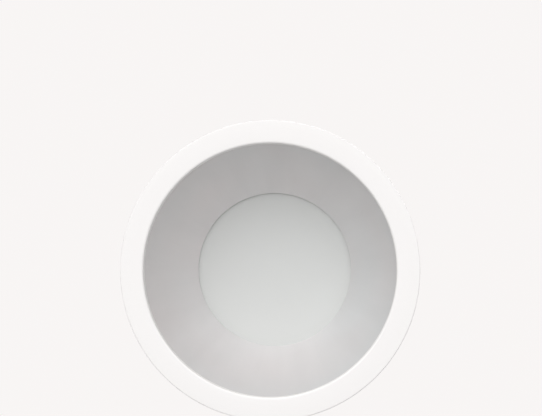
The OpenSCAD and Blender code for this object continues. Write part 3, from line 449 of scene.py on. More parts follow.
FINISHES: dict[str, Finish] = {
    finish.name: finish
    # Name, colour, roughness, metallic, grain, its size and depth, colour drift and its size, wear
    for finish in (
        Finish(
            "white_powder_coat", (0.905, 0.886, 0.878), 0.42, 0, Grain.PEEL, 1.1e-3, 1.5e-5, 0.01, 0.05, 0.05
        ),
        Finish("cast_aluminium", (0.50, 0.51, 0.52), 0.45, 1, Grain.CAST, 8e-4, 9e-5, 0.14, 0.012, 0.12),
        SpunCone("satin_aluminium", (0.72, 0.711, 0.713), 0.5, 0.4, grain_depth=4e-6, drift=0.07, wear=0.08),
        Finish("black_heat_sink", (0.045, 0.046, 0.05), 0.45, 0, Grain.CAST, 6e-4, 4e-5, 0.18, 0.018, 0.1),
        Finish("foam_rubber", (0.10, 0.10, 0.105), 0.9, 0, Grain.FOAM, 7e-4, 1.5e-4, 0.2, 0.006, 0.05),
        Finish("silicone", (0.88, 0.88, 0.87), 0.35, 0, Grain.SMOOTH, 8e-4, 2e-5, 0.04, 0.01, 0.06),
        Finish("opal_plastic", (0.62, 0.63, 0.62), 0.5, 0, Grain.SPARK, 4e-4, 6e-6, 0.008, 0.03, 0.04),
        Finish("white_plastic", (0.88, 0.88, 0.86), 0.45, 0, Grain.SPARK, 5e-4, 2e-5, 0.02, 0.012, 0.06),
        TrackedBoard("white_board", (0.86, 0.87, 0.85), 0.32, grain_depth=3e-5, drift=0.03),
        Finish("phosphor", (0.9, 0.78, 0.25), 0.3, 0, Grain.SPARK, 3e-4, 2e-5, 0.06, 0.003, 0.08),
        Finish("thermal_pad", (0.45, 0.5, 0.55), 0.7, 0, Grain.FOAM, 5e-4, 3e-5, 0.06, 0.008, 0.05),
        PlatedSheet("zinc_sheet", (0.68, 0.69, 0.70), 0.34, 1, Grain.DRAWN, 4e-4, 6e-6, 0.07, 0.003, 0.05),
        Finish("spring_steel", (0.5, 0.51, 0.53), 0.28, 1, Grain.DRAWN, 2e-4, 6e-6, 0.08, 0.004, 0.08),
        Finish("screw_steel", (0.66, 0.66, 0.67), 0.3, 1, Grain.SPARK, 3e-4, 6e-6, 0.08, 0.002, 0.10),
        Finish("black_rubber", (0.03, 0.03, 0.032), 0.7, 0, Grain.SPARK, 3e-4, 2e-5, 0.25, 0.004, 0.10),
        Finish("case_plastic", (0.80, 0.805, 0.80), 0.52, 0, Grain.SPARK, 7e-4, 4e-5, 0.015, 0.02, 0.06),
        TrackedBoard("circuit_board", (0.04, 0.22, 0.10), 0.3, grain_depth=3e-5, drift=0.18),
        Finish("ferrite", (0.09, 0.09, 0.095), 0.6, 0, Grain.CAST, 5e-4, 3e-5, 0.12, 0.004, 0.08),
        Wrap("winding_tape", (0.80, 0.62, 0.12), 0.32, grain_depth=6e-5, drift=0.06, drift_size=0.006),
        Finish("capacitor_sleeve", (0.05, 0.07, 0.2), 0.25, 0, Grain.SMOOTH, 6e-4, 1e-5, 0.12, 0.005, 0.05),
        Finish("filter_block", (0.85, 0.60, 0.08), 0.35, 0, Grain.SPARK, 4e-4, 2e-5, 0.04, 0.005, 0.06),
        Finish("enamelled_copper", (0.62, 0.27, 0.10), 0.25, 1, Grain.SMOOTH, 4e-4, 1e-5, 0.12, 0.002, 0.06),
        Finish("black_plastic", (0.04, 0.04, 0.045), 0.5, 0, Grain.SPARK, 6e-4, 4e-5, 0.15, 0.006, 0.08),
        Finish("ceramic", (0.8, 0.79, 0.75), 0.2, 0, Grain.SMOOTH, 7e-4, 1e-5, 0.04, 0.005, 0.05),
        Finish("green_plastic", (0.1, 0.42, 0.2), 0.45, 0, Grain.SPARK, 5e-4, 3e-5, 0.06, 0.006, 0.06),
        Finish("lead_insulation", (0.55, 0.06, 0.05), 0.35, 0, Grain.SMOOTH, 1.2e-3, 3e-5, 0.08, 0.006, 0.06),
    )
}


def outward(profile: Sequence[Flat]) -> list[Flat]:
    """Orders a closed outline so that the surface turned from it faces outwards.

    Args:
        profile: Points as radius and height.

    Returns:
        The same points, anticlockwise.
    """
    pairs = zip(profile, [*profile[1:], profile[0]])
    area = sum(a[0] * b[1] - b[0] * a[1] for a, b in pairs)
    return list(profile) if area > 0 else list(reversed(profile))


NEARLY_STRAIGHT = math.radians(170)
SIDE_SHARE = 0.45


def softened(corners: Sequence[Flat], radius: float, steps: int = 4) -> list[Flat]:
    """Rounds the corners of a closed outline.

    Args:
        corners: The outline's corners.
        radius: The wanted radius, which short sides make smaller.
        steps: Segments for each corner.

    Returns:
        The rounded outline.
    """
    points: list[Flat] = []
    count = len(corners)
    for i, corner in enumerate(corners):
        here = Vector(corner)
        before = Vector(corners[i - 1]) - here
        after = Vector(corners[(i + 1) % count]) - here
        turn = before.angle(after, math.pi)
        on_axis = corner[0] < TINY
        if on_axis or turn > NEARLY_STRAIGHT:
            points.append(corner)
            continue
        longest = SIDE_SHARE * min(before.length, after.length)
        reach = min(radius / math.tan(turn / 2), longest)
        start, end = here + before.normalized() * reach, here + after.normalized() * reach
        for step in range(steps + 1):
            t = step / steps
            place = start.lerp(here, t).lerp(here.lerp(end, t), t)
            points.append((place.x, place.y))
    return points


def boxed(inner: float, outer: float, low: float, high: float) -> list[Flat]:
    """Gives the corners of a ring's or disc's square outline."""
    return [(inner, low), (outer, low), (outer, high), (inner, high)]


def arc(centre: Flat, radius: float, start: float, end: float, steps: int) -> list[Flat]:
    """Gives the steps + 1 points of an arc round centre, from start to end in degrees."""
    angles = (math.radians(start + (end - start) * i / steps) for i in range(steps + 1))
    return [(centre[0] + radius * math.cos(a), centre[1] + radius * math.sin(a)) for a in angles]


def point_mesh(name: str, points: Iterable[Point], line: bool = False) -> bpy.types.Mesh:
    """Makes a mesh of points that a tree grows a piece on.

    Args:
        name: The mesh's name.
        points: The points, in order.
        line: Whether edges join them.

    Returns:
        The mesh.
    """
    places = list(points)
    edges = [(i, i + 1) for i in range(len(places) - 1)] if line else []
    mesh = bpy.data.meshes.new(name)
    mesh.from_pydata(places, edges, [])
    return mesh


def turned_piece(graph: Graph, given: dict[str, Value]) -> Value:
    """Turns an outline round Z: column by column round, point by point along the outline.

    Args:
        graph: The tree.
        given: Its inputs, by name.

    Returns:
        The piece.
    """
    points, segments = given["Points"], given["Segments"]
    rows = points + 1.0
    grid = graph.value("GeometryNodeMeshGrid", None, {"Vertices X": segments + 1.0, "Vertices Y": rows})
    index = graph.value("GeometryNodeInputIndex")
    column = graph.math("FLOOR", (index + 0.5) / rows)
    row = graph.math("MODULO", index - column * rows, points)
    sampled = graph.value(
        "GeometryNodeSampleIndex",
        {"data_type": "FLOAT_VECTOR", "domain": "POINT"},
        {"Geometry": given["Outline"], "Value": graph.value("GeometryNodeInputPosition"), "Index": row},
    )
    radius, _, height = graph.split(sampled)
    spot = graph.polar(column * math.tau / segments, radius, height)
    bent = graph.value("GeometryNodeSetPosition", None, {"Geometry": grid, "Position": spot})
    return graph.value("GeometryNodeMergeByDistance", None, {"Geometry": bent, "Distance": 10 * TINY})


def swept_wire(graph: Graph, given: dict[str, Value]) -> Value:
    """Sweeps a round wire along a line of points.

    Args:
        graph: The tree.
        given: Its inputs, by name.

    Returns:
        The wire.
    """
    path = graph.value("GeometryNodeMeshToCurve", None, {"Mesh": given["Path"]})
    size = {"Resolution": given["Sides"], "Radius": given["Radius"]}
    ring = graph.value("GeometryNodeCurvePrimitiveCircle", None, size)
    sockets = {"Curve": path, "Profile Curve": ring, "Fill Caps": True}
    return graph.value("GeometryNodeCurveToMesh", None, sockets)


def copies(graph: Graph, given: dict[str, Value], points: Value, euler: Value) -> Value:
    """Sets the given piece on points.

    Args:
        graph: The tree.
        given: Its inputs, by name.
        points: The points.
        euler: How the copy on each point is turned.

    Returns:
        The copies.
    """
    source = {"Object": given["Copy"], "As Instance": True}
    copy = graph.value("GeometryNodeObjectInfo", None, source, "Geometry")
    facing = graph.value("FunctionNodeEulerToRotation", None, {"Euler": euler})
    sockets = {"Points": points, "Instance": copy, "Rotation": facing}
    return graph.value("GeometryNodeInstanceOnPoints", None, sockets)


def ring_of_copies(graph: Graph, given: dict[str, Value]) -> Value:
    """Sets copies of a piece in a ring round Z.

    Args:
        graph: The tree.
        given: Its inputs, by name.

    Returns:
        The copies.
    """
    index = graph.value("GeometryNodeInputIndex")
    angle = given["First angle"] + index * math.tau / given["Count"]
    spot = graph.polar(angle, given["Radius"], given["Height"])
    points = graph.value("GeometryNodePoints", None, {"Count": given["Count"], "Position": spot})
    return copies(graph, given, points, graph.combine(0.0, 0.0, angle))


def copies_on_points(graph: Graph, given: dict[str, Value]) -> Value:
    """Sets copies of a piece on points, each turned by the point's own angles.

    Args:
        graph: The tree.
        given: Its inputs, by name.

    Returns:
        The copies.
    """
    kind = {"data_type": "FLOAT_VECTOR"}
    turn = graph.value("GeometryNodeInputNamedAttribute", kind, {"Name": TURN})
    return copies(graph, given, given["Points"], turn)


class Trees(Enum):
    """The ways in which a tree grows a piece."""

    TURNED = "turned piece"
    SWEPT = "swept wire"
    RING = "ring of copies"
    SCATTERED = "copies on points"


TURN = "turn"
COMMON = {"Place": "Vector", "Turn": "Vector", "Finish": "Material"}
RING_SIZES = {"Count": "Int", "Radius": "Float", "Height": "Float", "First angle": "Float"}
TREES: dict[Trees, tuple[Callable[[Graph, dict[str, Value]], Value], dict[str, str]]] = {
    Trees.TURNED: (turned_piece, {"Outline": "Geometry", "Points": "Int", "Segments": "Int"}),
    Trees.SWEPT: (swept_wire, {"Path": "Geometry", "Radius": "Float", "Sides": "Int"}),
    Trees.RING: (ring_of_copies, {"Start": "Geometry", "Copy": "Object", **RING_SIZES}),
    Trees.SCATTERED: (copies_on_points, {"Points": "Geometry", "Copy": "Object"}),
}


def tree_for(way: Trees) -> bpy.types.NodeTree:
    """Builds a tree, or finds the one already built. It ends in the piece's place, real geometry and finish.

    Args:
        way: How it grows a piece.

    Returns:
        The tree.
    """
    found = bpy.data.node_groups.get(way.value)
    if found is not None:
        return found
    tree = bpy.data.node_groups.new(way.value, "GeometryNodeTree")
    grow, inputs = TREES[way]
    for label, kind in {**inputs, **COMMON}.items():
        tree.interface.new_socket(label, in_out="INPUT", socket_type=f"NodeSocket{kind}")
    tree.interface.new_socket("Piece", in_out="OUTPUT", socket_type="NodeSocketGeometry")
    graph = Graph(tree)
    sockets = graph.node("NodeGroupInput").outputs
    given = {socket.name: Value(graph, socket) for socket in sockets if socket.name}
    smooth = graph.value("GeometryNodeSetShadeSmooth", None, {"Geometry": grow(graph, given)})
    moving = {"Geometry": smooth, "Translation": given["Place"], "Rotation": given["Turn"]}
    moved = graph.value("GeometryNodeTransform", None, moving)
    real = graph.value("GeometryNodeRealizeInstances", None, {"Geometry": moved})
    coated = graph.value("GeometryNodeSetMaterial", None, {"Geometry": real, "Material": given["Finish"]})
    graph.node("NodeGroupOutput", None, {0: coated})
    return tree


def linked(name: str, data: bpy.types.ID) -> bpy.types.Object:
    """Makes an object and puts it in the scene.

    Args:
        name: Its name.
        data: Its mesh, curve, lamp or camera.

    Returns:
        The object.
    """
    made = bpy.data.objects.new(name, data)
    bpy.context.scene.collection.objects.link(made)
    return made


def shaped(name: str, shell: bmesh.types.BMesh, finish: str = "") -> bpy.types.Object:
    """Makes an object of a worked mesh.

    Args:
        name: Its name.
        shell: The worked mesh, which is freed.
        finish: The material slot of its finish, if it has one.

    Returns:
        The object.
    """
    mesh = bpy.data.meshes.new(name)
    shell.to_mesh(mesh)
    shell.free()
    if finish:
        mesh.materials.append(FINISHES[finish].material())
    return linked(name, mesh)


def baked(made: bpy.types.Object) -> bpy.types.Object:
    """Turns what an object's modifiers make into a plain mesh without loose edges, and removes the modifiers.

    Args:
        made: The object.

    Returns:
        The same object.
    """
    bpy.context.view_layer.update()
    graph = bpy.context.evaluated_depsgraph_get()
    mesh = bpy.data.meshes.new_from_object(
        made.evaluated_get(graph), preserve_all_data_layers=True, depsgraph=graph
    )
    mesh.name = made.name
    shell = bmesh.new()
    shell.from_mesh(mesh)
    bmesh.ops.delete(shell, geom=[e for e in shell.edges if not e.link_faces], context="EDGES")
    shell.to_mesh(mesh)
    shell.free()
    old = made.data
    made.modifiers.clear()
    made.data = mesh
    bpy.data.meshes.remove(old)
    return made


def creased(made: bpy.types.Object, degrees: float = 35.0) -> bpy.types.Object:
    """Shades a finished mesh smooth, with sharp edges.

    Args:
        made: The object.
        degrees: An edge is sharp where the surface turns by more than this.

    Returns:
        The same object.
    """
    made.data.shade_smooth()
    made.data.set_sharp_from_angle(angle=math.radians(degrees))
    return made


def grown(
    name: str,
    way: Trees,
    start: bpy.types.Mesh,
    finish: str,
    inputs: dict[str, object],
    place: Point = (0.0, 0.0, 0.0),
    turn: Point = (0.0, 0.0, 0.0),
) -> bpy.types.Object:
    """Grows a piece with one of the trees.

    Args:
        name: The piece's name.
        way: The tree.
        start: The outline, path or points that it starts from.
        finish: The material slot of its finish.
        inputs: The tree's own inputs, by name.
        place: Where the piece goes.
        turn: How it is turned, in radians.

    Returns:
        The piece, as a plain mesh.
    """
    tree = tree_for(way)
    made = linked(name, start)
    modifier = made.modifiers.new(way.value, "NODES")
    modifier.node_group = tree
    wanted = {**inputs, "Place": place, "Turn": turn, "Finish": FINISHES[finish].material()}
    for item in tree.interface.items_tree:
        if item.item_type == "SOCKET" and item.in_out == "INPUT" and item.name in wanted:
            modifier[item.identifier] = wanted[item.name]
    return creased(baked(made))


def turned(
    name: str,
    outline: Sequence[Flat],
    finish: str,
    segments: int = 96,
    place: Point = (0.0, 0.0, 0.0),
    turn: Point = (0.0, 0.0, 0.0),
) -> bpy.types.Object:
    """Turns an outline round Z.

    Args:
        name: The piece's name.
        outline: Closed outline as radius and height, in metres.
        finish: The material slot of its finish.
        segments: How many segments go round.
        place: Where the piece goes.
        turn: How it is turned.

    Returns:
        The piece.
    """
    points = outward(outline)
    start = point_mesh(name, ((r, 0.0, z) for r, z in points))
    counts = {"Points": len(points), "Segments": segments}
    return grown(name, Trees.TURNED, start, finish, counts, place, turn)


def swept(name: str, path: Sequence[Point], radius: float, finish: str, sides: int = 12) -> bpy.types.Object:
    """Sweeps a round wire, which has a number of flat sides, along the points of path."""
    start = point_mesh(name, path, line=True)
    return grown(name, Trees.SWEPT, start, finish, {"Radius": radius, "Sides": sides})


def copied(name: str, source: bpy.types.Object, spots: Sequence[Spot], finish: str) -> bpy.types.Object:
    """Sets copies of source on spots.

    Args:
        name: The piece's name.
        source: What is copied. It is removed afterwards.
        spots: Place and turn of each copy.
        finish: The material slot of its finish.

    Returns:
        The piece.
    """
    start = point_mesh(name, (spot for spot, _ in spots))
    turns = start.attributes.new(TURN, "FLOAT_VECTOR", "POINT")
    turns.data.foreach_set("vector", [n for _, turn in spots for n in turn])
    made = grown(name, Trees.SCATTERED, start, finish, {"Copy": source})
    bpy.data.objects.remove(source)
    return made


def ringed(
    name: str,
    source: bpy.types.Object,
    count: int,
    finish: str,
    radius: float = 0.0,
    height: float = 0.0,
    first: float = 0.0,
) -> bpy.types.Object:
    """Sets copies of source in a ring round Z.

    Args:
        name: The piece's name.
        source: What is copied. It is removed afterwards.
        count: How many copies there are.
        finish: The material slot of its finish.
        radius: The ring's radius.
        height: The ring's height.
        first: The angle of the first copy, in degrees.

    Returns:
        The piece.
    """
    sizes = {"Count": count, "Radius": radius, "Height": height, "First angle": math.radians(first)}
    made = grown(name, Trees.RING, point_mesh(name, [(0.0, 0.0, 0.0)]), finish, {"Copy": source, **sizes})
    bpy.data.objects.remove(source)
    return made


def domed(radius: float, height: float, share: float, step: float, count: int) -> list[Flat]:
    """Gives count points up a domed head, step degrees apart, above a rim with a share of its height."""
    angles = (math.radians(step * i) for i in range(count))
    return [(radius * math.cos(a), height * (share + (1.0 - share) * math.sin(a))) for a in angles]


def round_loop(centre: Flat, radius: float, steps: int = 8) -> list[Flat]:
    """Gives the outline of a circle, with steps segments in each quarter."""
    return rounded_loop(centre, (radius, radius), radius, steps)


def rounded_loop(centre: Flat, half: Flat, radius: float, steps: int = 8) -> list[Flat]:
    """Gives the outline of a rectangle with round corners.

    Args:
        centre: Its centre.
        half: Half its length along X and along Y.
        radius: The radius of its corners.
        steps: Segments for each corner.

    Returns:
        The points, anticlockwise.
    """
    points: list[Flat] = []
    for i, (x, y) in enumerate(((1, 1), (-1, 1), (-1, -1), (1, -1))):
        corner = (centre[0] + x * (half[0] - radius), centre[1] + y * (half[1] - radius))
        points += arc(corner, radius, 90 * i, 90 * (i + 1), steps)
    return points


def plate(
    name: str, loops: Sequence[Sequence[Flat]], low: float, high: float, finish: str, soft: float
) -> bpy.types.Object:
    """Cuts a level plate out of soft sheet, with its edges rounded.

    Args:
        name: The piece's name.
        loops: The plate's outline, then its holes.
        low: The height of its underside.
        high: The height of its top.
        finish: The material slot of its finish.
        soft: The radius of its edges.

    Returns:
        The piece.
    """
    curve = bpy.data.curves.new(name, "CURVE")
    curve.dimensions, curve.fill_mode = "2D", "BOTH"
    curve.extrude, curve.bevel_depth, curve.bevel_resolution = (high - low) / 2 - soft, soft, 2
    curve.offset = -soft
    for loop in loops:
        kept = [p for i, p in enumerate(loop) if math.dist(p, loop[i - 1]) > TINY]
        line = curve.splines.new("POLY")
        line.points.add(len(kept) - 1)
        line.points.foreach_set("co", [n for x, y in kept for n in (x, y, 0.0, 1.0)])
        line.use_cyclic_u = True
    source = linked(name, curve)
    bpy.context.view_layer.update()
    mesh = bpy.data.meshes.new_from_object(source.evaluated_get(bpy.context.evaluated_depsgraph_get()))
    bpy.data.objects.remove(source)
    shell = bmesh.new()
    shell.from_mesh(mesh)
    bmesh.ops.translate(shell, vec=(0.0, 0.0, (low + high) / 2), verts=shell.verts)
    bmesh.ops.remove_doubles(shell, verts=shell.verts, dist=TINY)
    bmesh.ops.recalc_face_normals(shell, faces=shell.faces)
    return creased(shaped(name, shell, finish))


def settled(piece: bpy.types.Object, *nodes: str, body: str = ROOT) -> None:
    """Makes a piece ride on its body, and hides the nodes that it replaces.

    Args:
        piece: The piece.
        nodes: The nodes that it replaces.
        body: The body that it rides on.
    """
    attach(piece, body)
    if nodes:
        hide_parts(*nodes)
    log.info("%s: %d faces, rides on %s", piece.name, len(piece.data.polygons), body)


def at_angle(radius: float, degrees: float, height: float) -> Point:
    """Gives the point at a radius and an angle round the light's axis."""
    angle = math.radians(degrees)
    return radius * math.cos(angle), radius * math.sin(angle), height


@dataclass
class TrimRing:
    """The white ring below the ceiling and the foam behind its flange. Sizes in metres."""

    opening_r: float = 0.076
    flange_r: float = 0.090
    spigot_r: float = 0.0802
    face_z: float = -0.005
    back_z: float = -0.002
    seat_z: float = 0.001
    lip_r: float = 0.0014
    edge_r: float = 0.0007
    soft: float = 0.0003
    seat_soft: float = 0.0002
    foam: tuple[float, float] = (0.0831, 0.0888)
    foam_soft: float = 0.0008

    def build(self) -> None:
        """Builds ring and foam."""
        soft = self.soft
        outline = [
            *arc((self.opening_r + self.lip_r, self.face_z + self.lip_r), self.lip_r, 180, 270, 16),
            *arc((self.flange_r - self.edge_r, self.face_z + self.edge_r), self.edge_r, 270, 360, 10),
            (self.flange_r, self.back_z - soft),
            (self.flange_r - soft, self.back_z),
            (self.spigot_r, self.back_z),
            (self.spigot_r, self.seat_z - soft),
            (self.spigot_r - soft, self.seat_z),
            (self.opening_r + self.seat_soft, self.seat_z),
            (self.opening_r, self.seat_z - self.seat_soft),
        ]
        ring = turned("trim_ring_dressed", outline, "white_powder_coat", segments=256)
        settled(ring, "trim_ring")
        foam = softened(boxed(*self.foam, self.back_z, 0.0), self.foam_soft, steps=6)
        settled(turned("ceiling_foam", foam, "foam_rubber", segments=192), "ceiling_gasket")


@dataclass
class Optics:
    """The spun cone, the frosted lens and the silicone ring between them."""

    seat_r: float = 0.076
    seat_z: float = 0.001
    throat_r: float = 0.0485
    throat_z: float = 0.050
    rim_r: float = 0.078
    shelf_r: float = 0.056
    sheet: float = 0.0012
    soft: float = 0.0002
    bulge: float = 0.0025
    ring: tuple[float, float] = (0.0487, 0.0539)
    ring_soft: float = 0.0001
    lens_r: float = 0.054
    lens_z: float = 0.0522
    lens_t: float = 0.003
    lens_soft: float = 0.0003
    segments: int = 256
    steps: int = 36

    def side(self) -> tuple[Flat, float, float, float]:
        """Works out the arc of the cone's side.

        Returns:
            Its centre, its radius, and its first and last angle in degrees.
        """
        start, end = Vector((self.seat_r, self.seat_z)), Vector((self.throat_r, self.throat_z))
        chord = end - start
        radius = chord.length_squared / (8 * self.bulge) + self.bulge / 2
        away = Vector((chord.y, -chord.x)).normalized()
        centre = (start + end) / 2 - away * (radius - self.bulge)
        angles = [math.degrees(math.atan2(p.y - centre.y, p.x - centre.x)) for p in (start, end)]
        return (centre.x, centre.y), radius, angles[0], angles[1]

    def build(self) -> None:
        """Builds cone, gasket and lens."""
        centre, radius, start, end = self.side()
        inner = arc(centre, radius, end, start, self.steps)
        outer = arc(centre, radius + self.sheet, start, end, self.steps)
        top, soft = self.throat_z + self.sheet, self.soft
        outline = [
            *inner,
            (self.seat_r + soft, self.seat_z),
            (self.rim_r, self.seat_z),
            (self.rim_r, self.seat_z + self.sheet),
            *(p for p in outer if self.seat_z + self.sheet < p[1] < self.throat_z),
            (self.shelf_r, self.throat_z),
            (self.shelf_r, top),
            (self.throat_r + 2 * soft, top),
            (self.throat_r + soft * 0.6, top - soft * 0.6),
            (self.throat_r, top - 2 * soft),
        ]
        cone = turned("reflector_spun", outline, "satin_aluminium", self.segments)
        settled(cone, "reflector_cone")
        ring = softened(boxed(*self.ring, top, self.lens_z), self.ring_soft)
        settled(turned("lens_ring", ring, "silicone", segments=128), "lens_gasket")
        disc = softened(boxed(0.0, self.lens_r, self.lens_z, self.lens_z + self.lens_t), self.lens_soft)
        lens = turned("lens_frosted", disc, "opal_plastic", self.segments)
        settled(lens, "diffuser_lens")


BOX_CORNERS = ((-1, -1), (1, -1), (1, 1), (-1, 1))
BOX_FACES = ((3, 2, 1, 0), (4, 5, 6, 7), (0, 1, 5, 4), (1, 2, 6, 5), (2, 3, 7, 6), (3, 0, 4, 7))


@dataclass
class Fastener:
    """A pan-head screw with a cross recess and a cut thread, standing on Z = 0 with its shank below.

    Attributes:
        diameter: The thread's outer diameter, in metres.
        length: The shank's length, in metres.
        head: Radius and height of its head, as shares of the diameter.
        rim: Inner radius and height of the head's rim, as shares of the head's.
        root: The thread's root radius, as a share of its outer radius.
        pitch: The thread's pitch, as a share of the diameter and a rest in metres.
        tip: The end of the shank that has no thread.
        blade: Half the length and half the thickness of the recess, as shares of the head's radius.
        depth: Bottom and top of the tool that cuts it, as shares of the head's height.
        taper: The tool's size at its bottom and top, as shares of the blade.
    """

    diameter: float
    length: float
    head: tuple[float, float] = (0.9, 0.6)
    rim: tuple[float, float] = (0.96, 0.12)
    root: float = 0.84
    pitch: tuple[float, float] = (0.16, 0.00006)
    tip: float = 0.0004
    blade: tuple[float, float] = (0.58, 0.11)
    depth: tuple[float, float] = (0.4, 1.3)
    taper: tuple[float, float] = (0.62, 1.15)

    def outline(self) -> list[Flat]:
        """Gives the outline of head and threaded shank.

        Returns:
            The outline, from the tip up.
        """
        r, head_r, head_h = self.diameter / 2, self.diameter * self.head[0], self.diameter * self.head[1]
        share, rest = self.pitch
        pitch = share * self.diameter + rest
        thread: list[Flat] = []
        for i in range(int((self.length - self.tip) / pitch), 0, -1):
            thread += [(r * self.root, -i * pitch), (r, -(i - 0.5) * pitch)]
        inset, high = self.rim
        rim = [(r * self.root, 0.0), (head_r * inset, 0.0), (head_r, head_h * high)]
        crown = domed(head_r, head_h, share=0.45, step=15, count=6)
        return [(0.0, -self.length), (r * 0.6, -self.length), *thread, *rim, *crown, (0.0, head_h)]

    def cross(self) -> bpy.types.Object:
        """Makes the tool that cuts the recess: two blades, narrower at the bottom.

        Returns:
            The tool.
        """
        wide, thin = (self.diameter * self.head[0] * share for share in self.blade)
        heights = (self.diameter * self.head[1] * share for share in self.depth)
        levels = list(zip(heights, self.taper))
        made = bmesh.new()
        for turn in (0.0, math.pi / 2):
            spin = Matrix.Rotation(turn, 4, "Z")
            corners = [Vector((x * wide * f, y * thin * f, z)) for z, f in levels for x, y in BOX_CORNERS]
            points = [made.verts.new(spin @ corner) for corner in corners]
            for face in BOX_FACES:
                made.faces.new([points[i] for i in face])
        return shaped("cross", made)

    def build(self) -> bpy.types.Object:
        """Builds one screw.

        Returns:
            The screw, to be copied.
        """
        screw = turned("screw", self.outline(), "screw_steel", segments=32)
        cutter = self.cross()
        cut = screw.modifiers.new("recess", "BOOLEAN")
        cut.operation, cut.solver, cut.object, cut.use_self = "DIFFERENCE", "EXACT", cutter, True
        baked(screw)
        bpy.data.objects.remove(cutter)
        return screw


@dataclass
class ScrewSet:
    """All screws of one kind."""

    node: str
    fastener: Fastener
    spots: list[Spot]

    def build(self) -> None:
        """Builds and places them."""
        made = copied(f"{self.node}_cut", self.fastener.build(), self.spots, "screw_steel")
        settled(made, self.node)


def ring_of(radius: float, angles: Iterable[float], height: float, down: bool = False) -> list[Spot]:
    """Places screws upright in a ring at angles in degrees, with their heads up or down."""
    flip = math.pi if down else 0.0
    return [(at_angle(radius, a, height), (flip, 0.0, math.radians(a + 20))) for a in angles]


def upright(places: Iterable[Flat], height: float) -> list[Spot]:
    """Places screws upright at places, each recess turned a little differently."""
    return [((x, y, height), (0.0, 0.0, 0.4 * i)) for i, (x, y) in enumerate(places)]


@dataclass
class Clip:
    """One folding spring clip: spring, pin and soft foot."""

    number: int
    angle: float
    pivot_r: float = 0.0766
    pivot_z: float = 0.0445
    drop: float = 76.0
    coil_r: float = 0.0029
    coil_half: float = 0.00495
    wire_r: float = 0.00055
    turns: int = 5
    fixed_leg: float = 0.0105
    arm_leg: float = 0.016
    foot_s: float = 0.034
    foot_n: float = 0.0015
    foot_r: float = 0.0028
    foot_half: float = 0.0076
    slot_half: float = 0.00065
    slot_end: float = 0.00125
    wing_x: float = 0.0724
    wing_y: float = 0.0129

    def frame(self) -> Matrix:
        """Gives the place of the clip: X outwards, Y along its pin, Z up, from the pin's middle."""
        out = Matrix.Translation((self.pivot_r, 0.0, self.pivot_z))
        return Matrix.Rotation(math.radians(self.angle), 4, "Z") @ out

    def spring(self) -> None:
        """Winds the torsion spring: a leg down the bracket, the coil round the pin, a leg along the arm."""
        drop = math.radians(self.drop)
        sweep = math.radians(90 + self.drop + 360 * self.turns)
        steps, leg_steps = 28 * (self.turns + 1), 8
        along, up = Vector((math.cos(drop), 0, -math.sin(drop))), Vector((math.sin(drop), 0, math.cos(drop)))
        side = Vector((0, self.coil_half, 0))
        points = []
        for i in range(leg_steps):
            points.append(Vector((-self.coil_r, -self.coil_half, -self.fixed_leg * (1 - i / leg_steps))))
        for i in range(steps + 1):
            a = math.pi - sweep * i / steps
            y = -self.coil_half + 2 * self.coil_half * i / steps
            points.append(Vector((self.coil_r * math.cos(a), y, self.coil_r * math.sin(a))))
        for i in range(1, leg_steps + 1):
            points.append(up * self.coil_r + along * self.arm_leg * i / leg_steps + side)
        place, name, body = self.frame(), f"clip_spring_{self.number}", f"clip_{self.number}"
        wire = swept(f"{name}_wound", [tuple(place @ p) for p in points], self.wire_r, "spring_steel")
        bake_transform(wire)
        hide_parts(name)
        log.info("%s: %d faces, bends from %s to %s", wire.name, len(wire.data.polygons), ROOT, body)

    def foot(self) -> None:
        """Moulds the ribbed foot with the slot that takes the arm's end."""
        inset = math.asin(self.slot_half / self.foot_r)
        steps, ribs = 24, 6
        half = self.foot_half / ribs
        end, near, valley, crest = 0.86, 0.95, 0.9, 0.62
        slices: list[tuple[float, float]] = [(-self.foot_half, end), (-self.foot_half + 0.0003, near)]
        for i in range(ribs):
            middle = -self.foot_half + (2 * i + 1) * half
            slices += [(middle - half * crest, 1.0), (middle + half * crest, 1.0), (middle + half, valley)]
        slices[-1] = (self.foot_half, end)
        arm = Matrix.Rotation(math.radians(self.drop), 4, "Y")
        place = self.frame() @ arm @ Matrix.Translation((self.foot_s, 0.0, self.foot_n))
        bend = [math.pi + inset + (2 * math.pi - 2 * inset) * i / steps for i in range(steps + 1)]
        slot = [(self.slot_end, self.slot_half), (self.slot_end, -self.slot_half)]
        made = bmesh.new()
        rows = []
        for y, size in slices:
            r = self.foot_r * size
            loop = [*((r * math.cos(a), r * math.sin(a)) for a in bend), *slot]
            rows.append([made.verts.new(place @ Vector((x, y, z))) for x, z in loop])
        for a, b in zip(rows, rows[1:]):
            for i in range(len(a)):
                made.faces.new((a[i - 1], a[i], b[i], b[i - 1]))
        made.faces.new(rows[0])
        made.faces.new(rows[-1][::-1])
        bmesh.ops.recalc_face_normals(made, faces=made.faces)
        bmesh.ops.triangulate(made, faces=[f for f in made.faces if len(f.verts) > 4])
        foot = creased(shaped(f"clip_foot_{self.number}_moulded", made, "black_rubber"), degrees=30.0)
        settled(foot, f"clip_foot_{self.number}", body=f"clip_{self.number}")

    def build(self) -> None:
        """Builds spring and foot."""
        self.spring()
        self.foot()

    def screws(self) -> list[Spot]:
        """Gives the places of the bracket's two screws.

        Returns:
            Place and turn of each.
        """
        spin = Matrix.Rotation(math.radians(self.angle), 4, "Z")
        turn = (0.3 * self.number, math.pi / 2, math.radians(self.angle))
        places = (Vector((self.wing_x, y, self.pivot_z)) for y in (-self.wing_y, self.wing_y))
        return [(tuple(spin @ place), turn) for place in places]


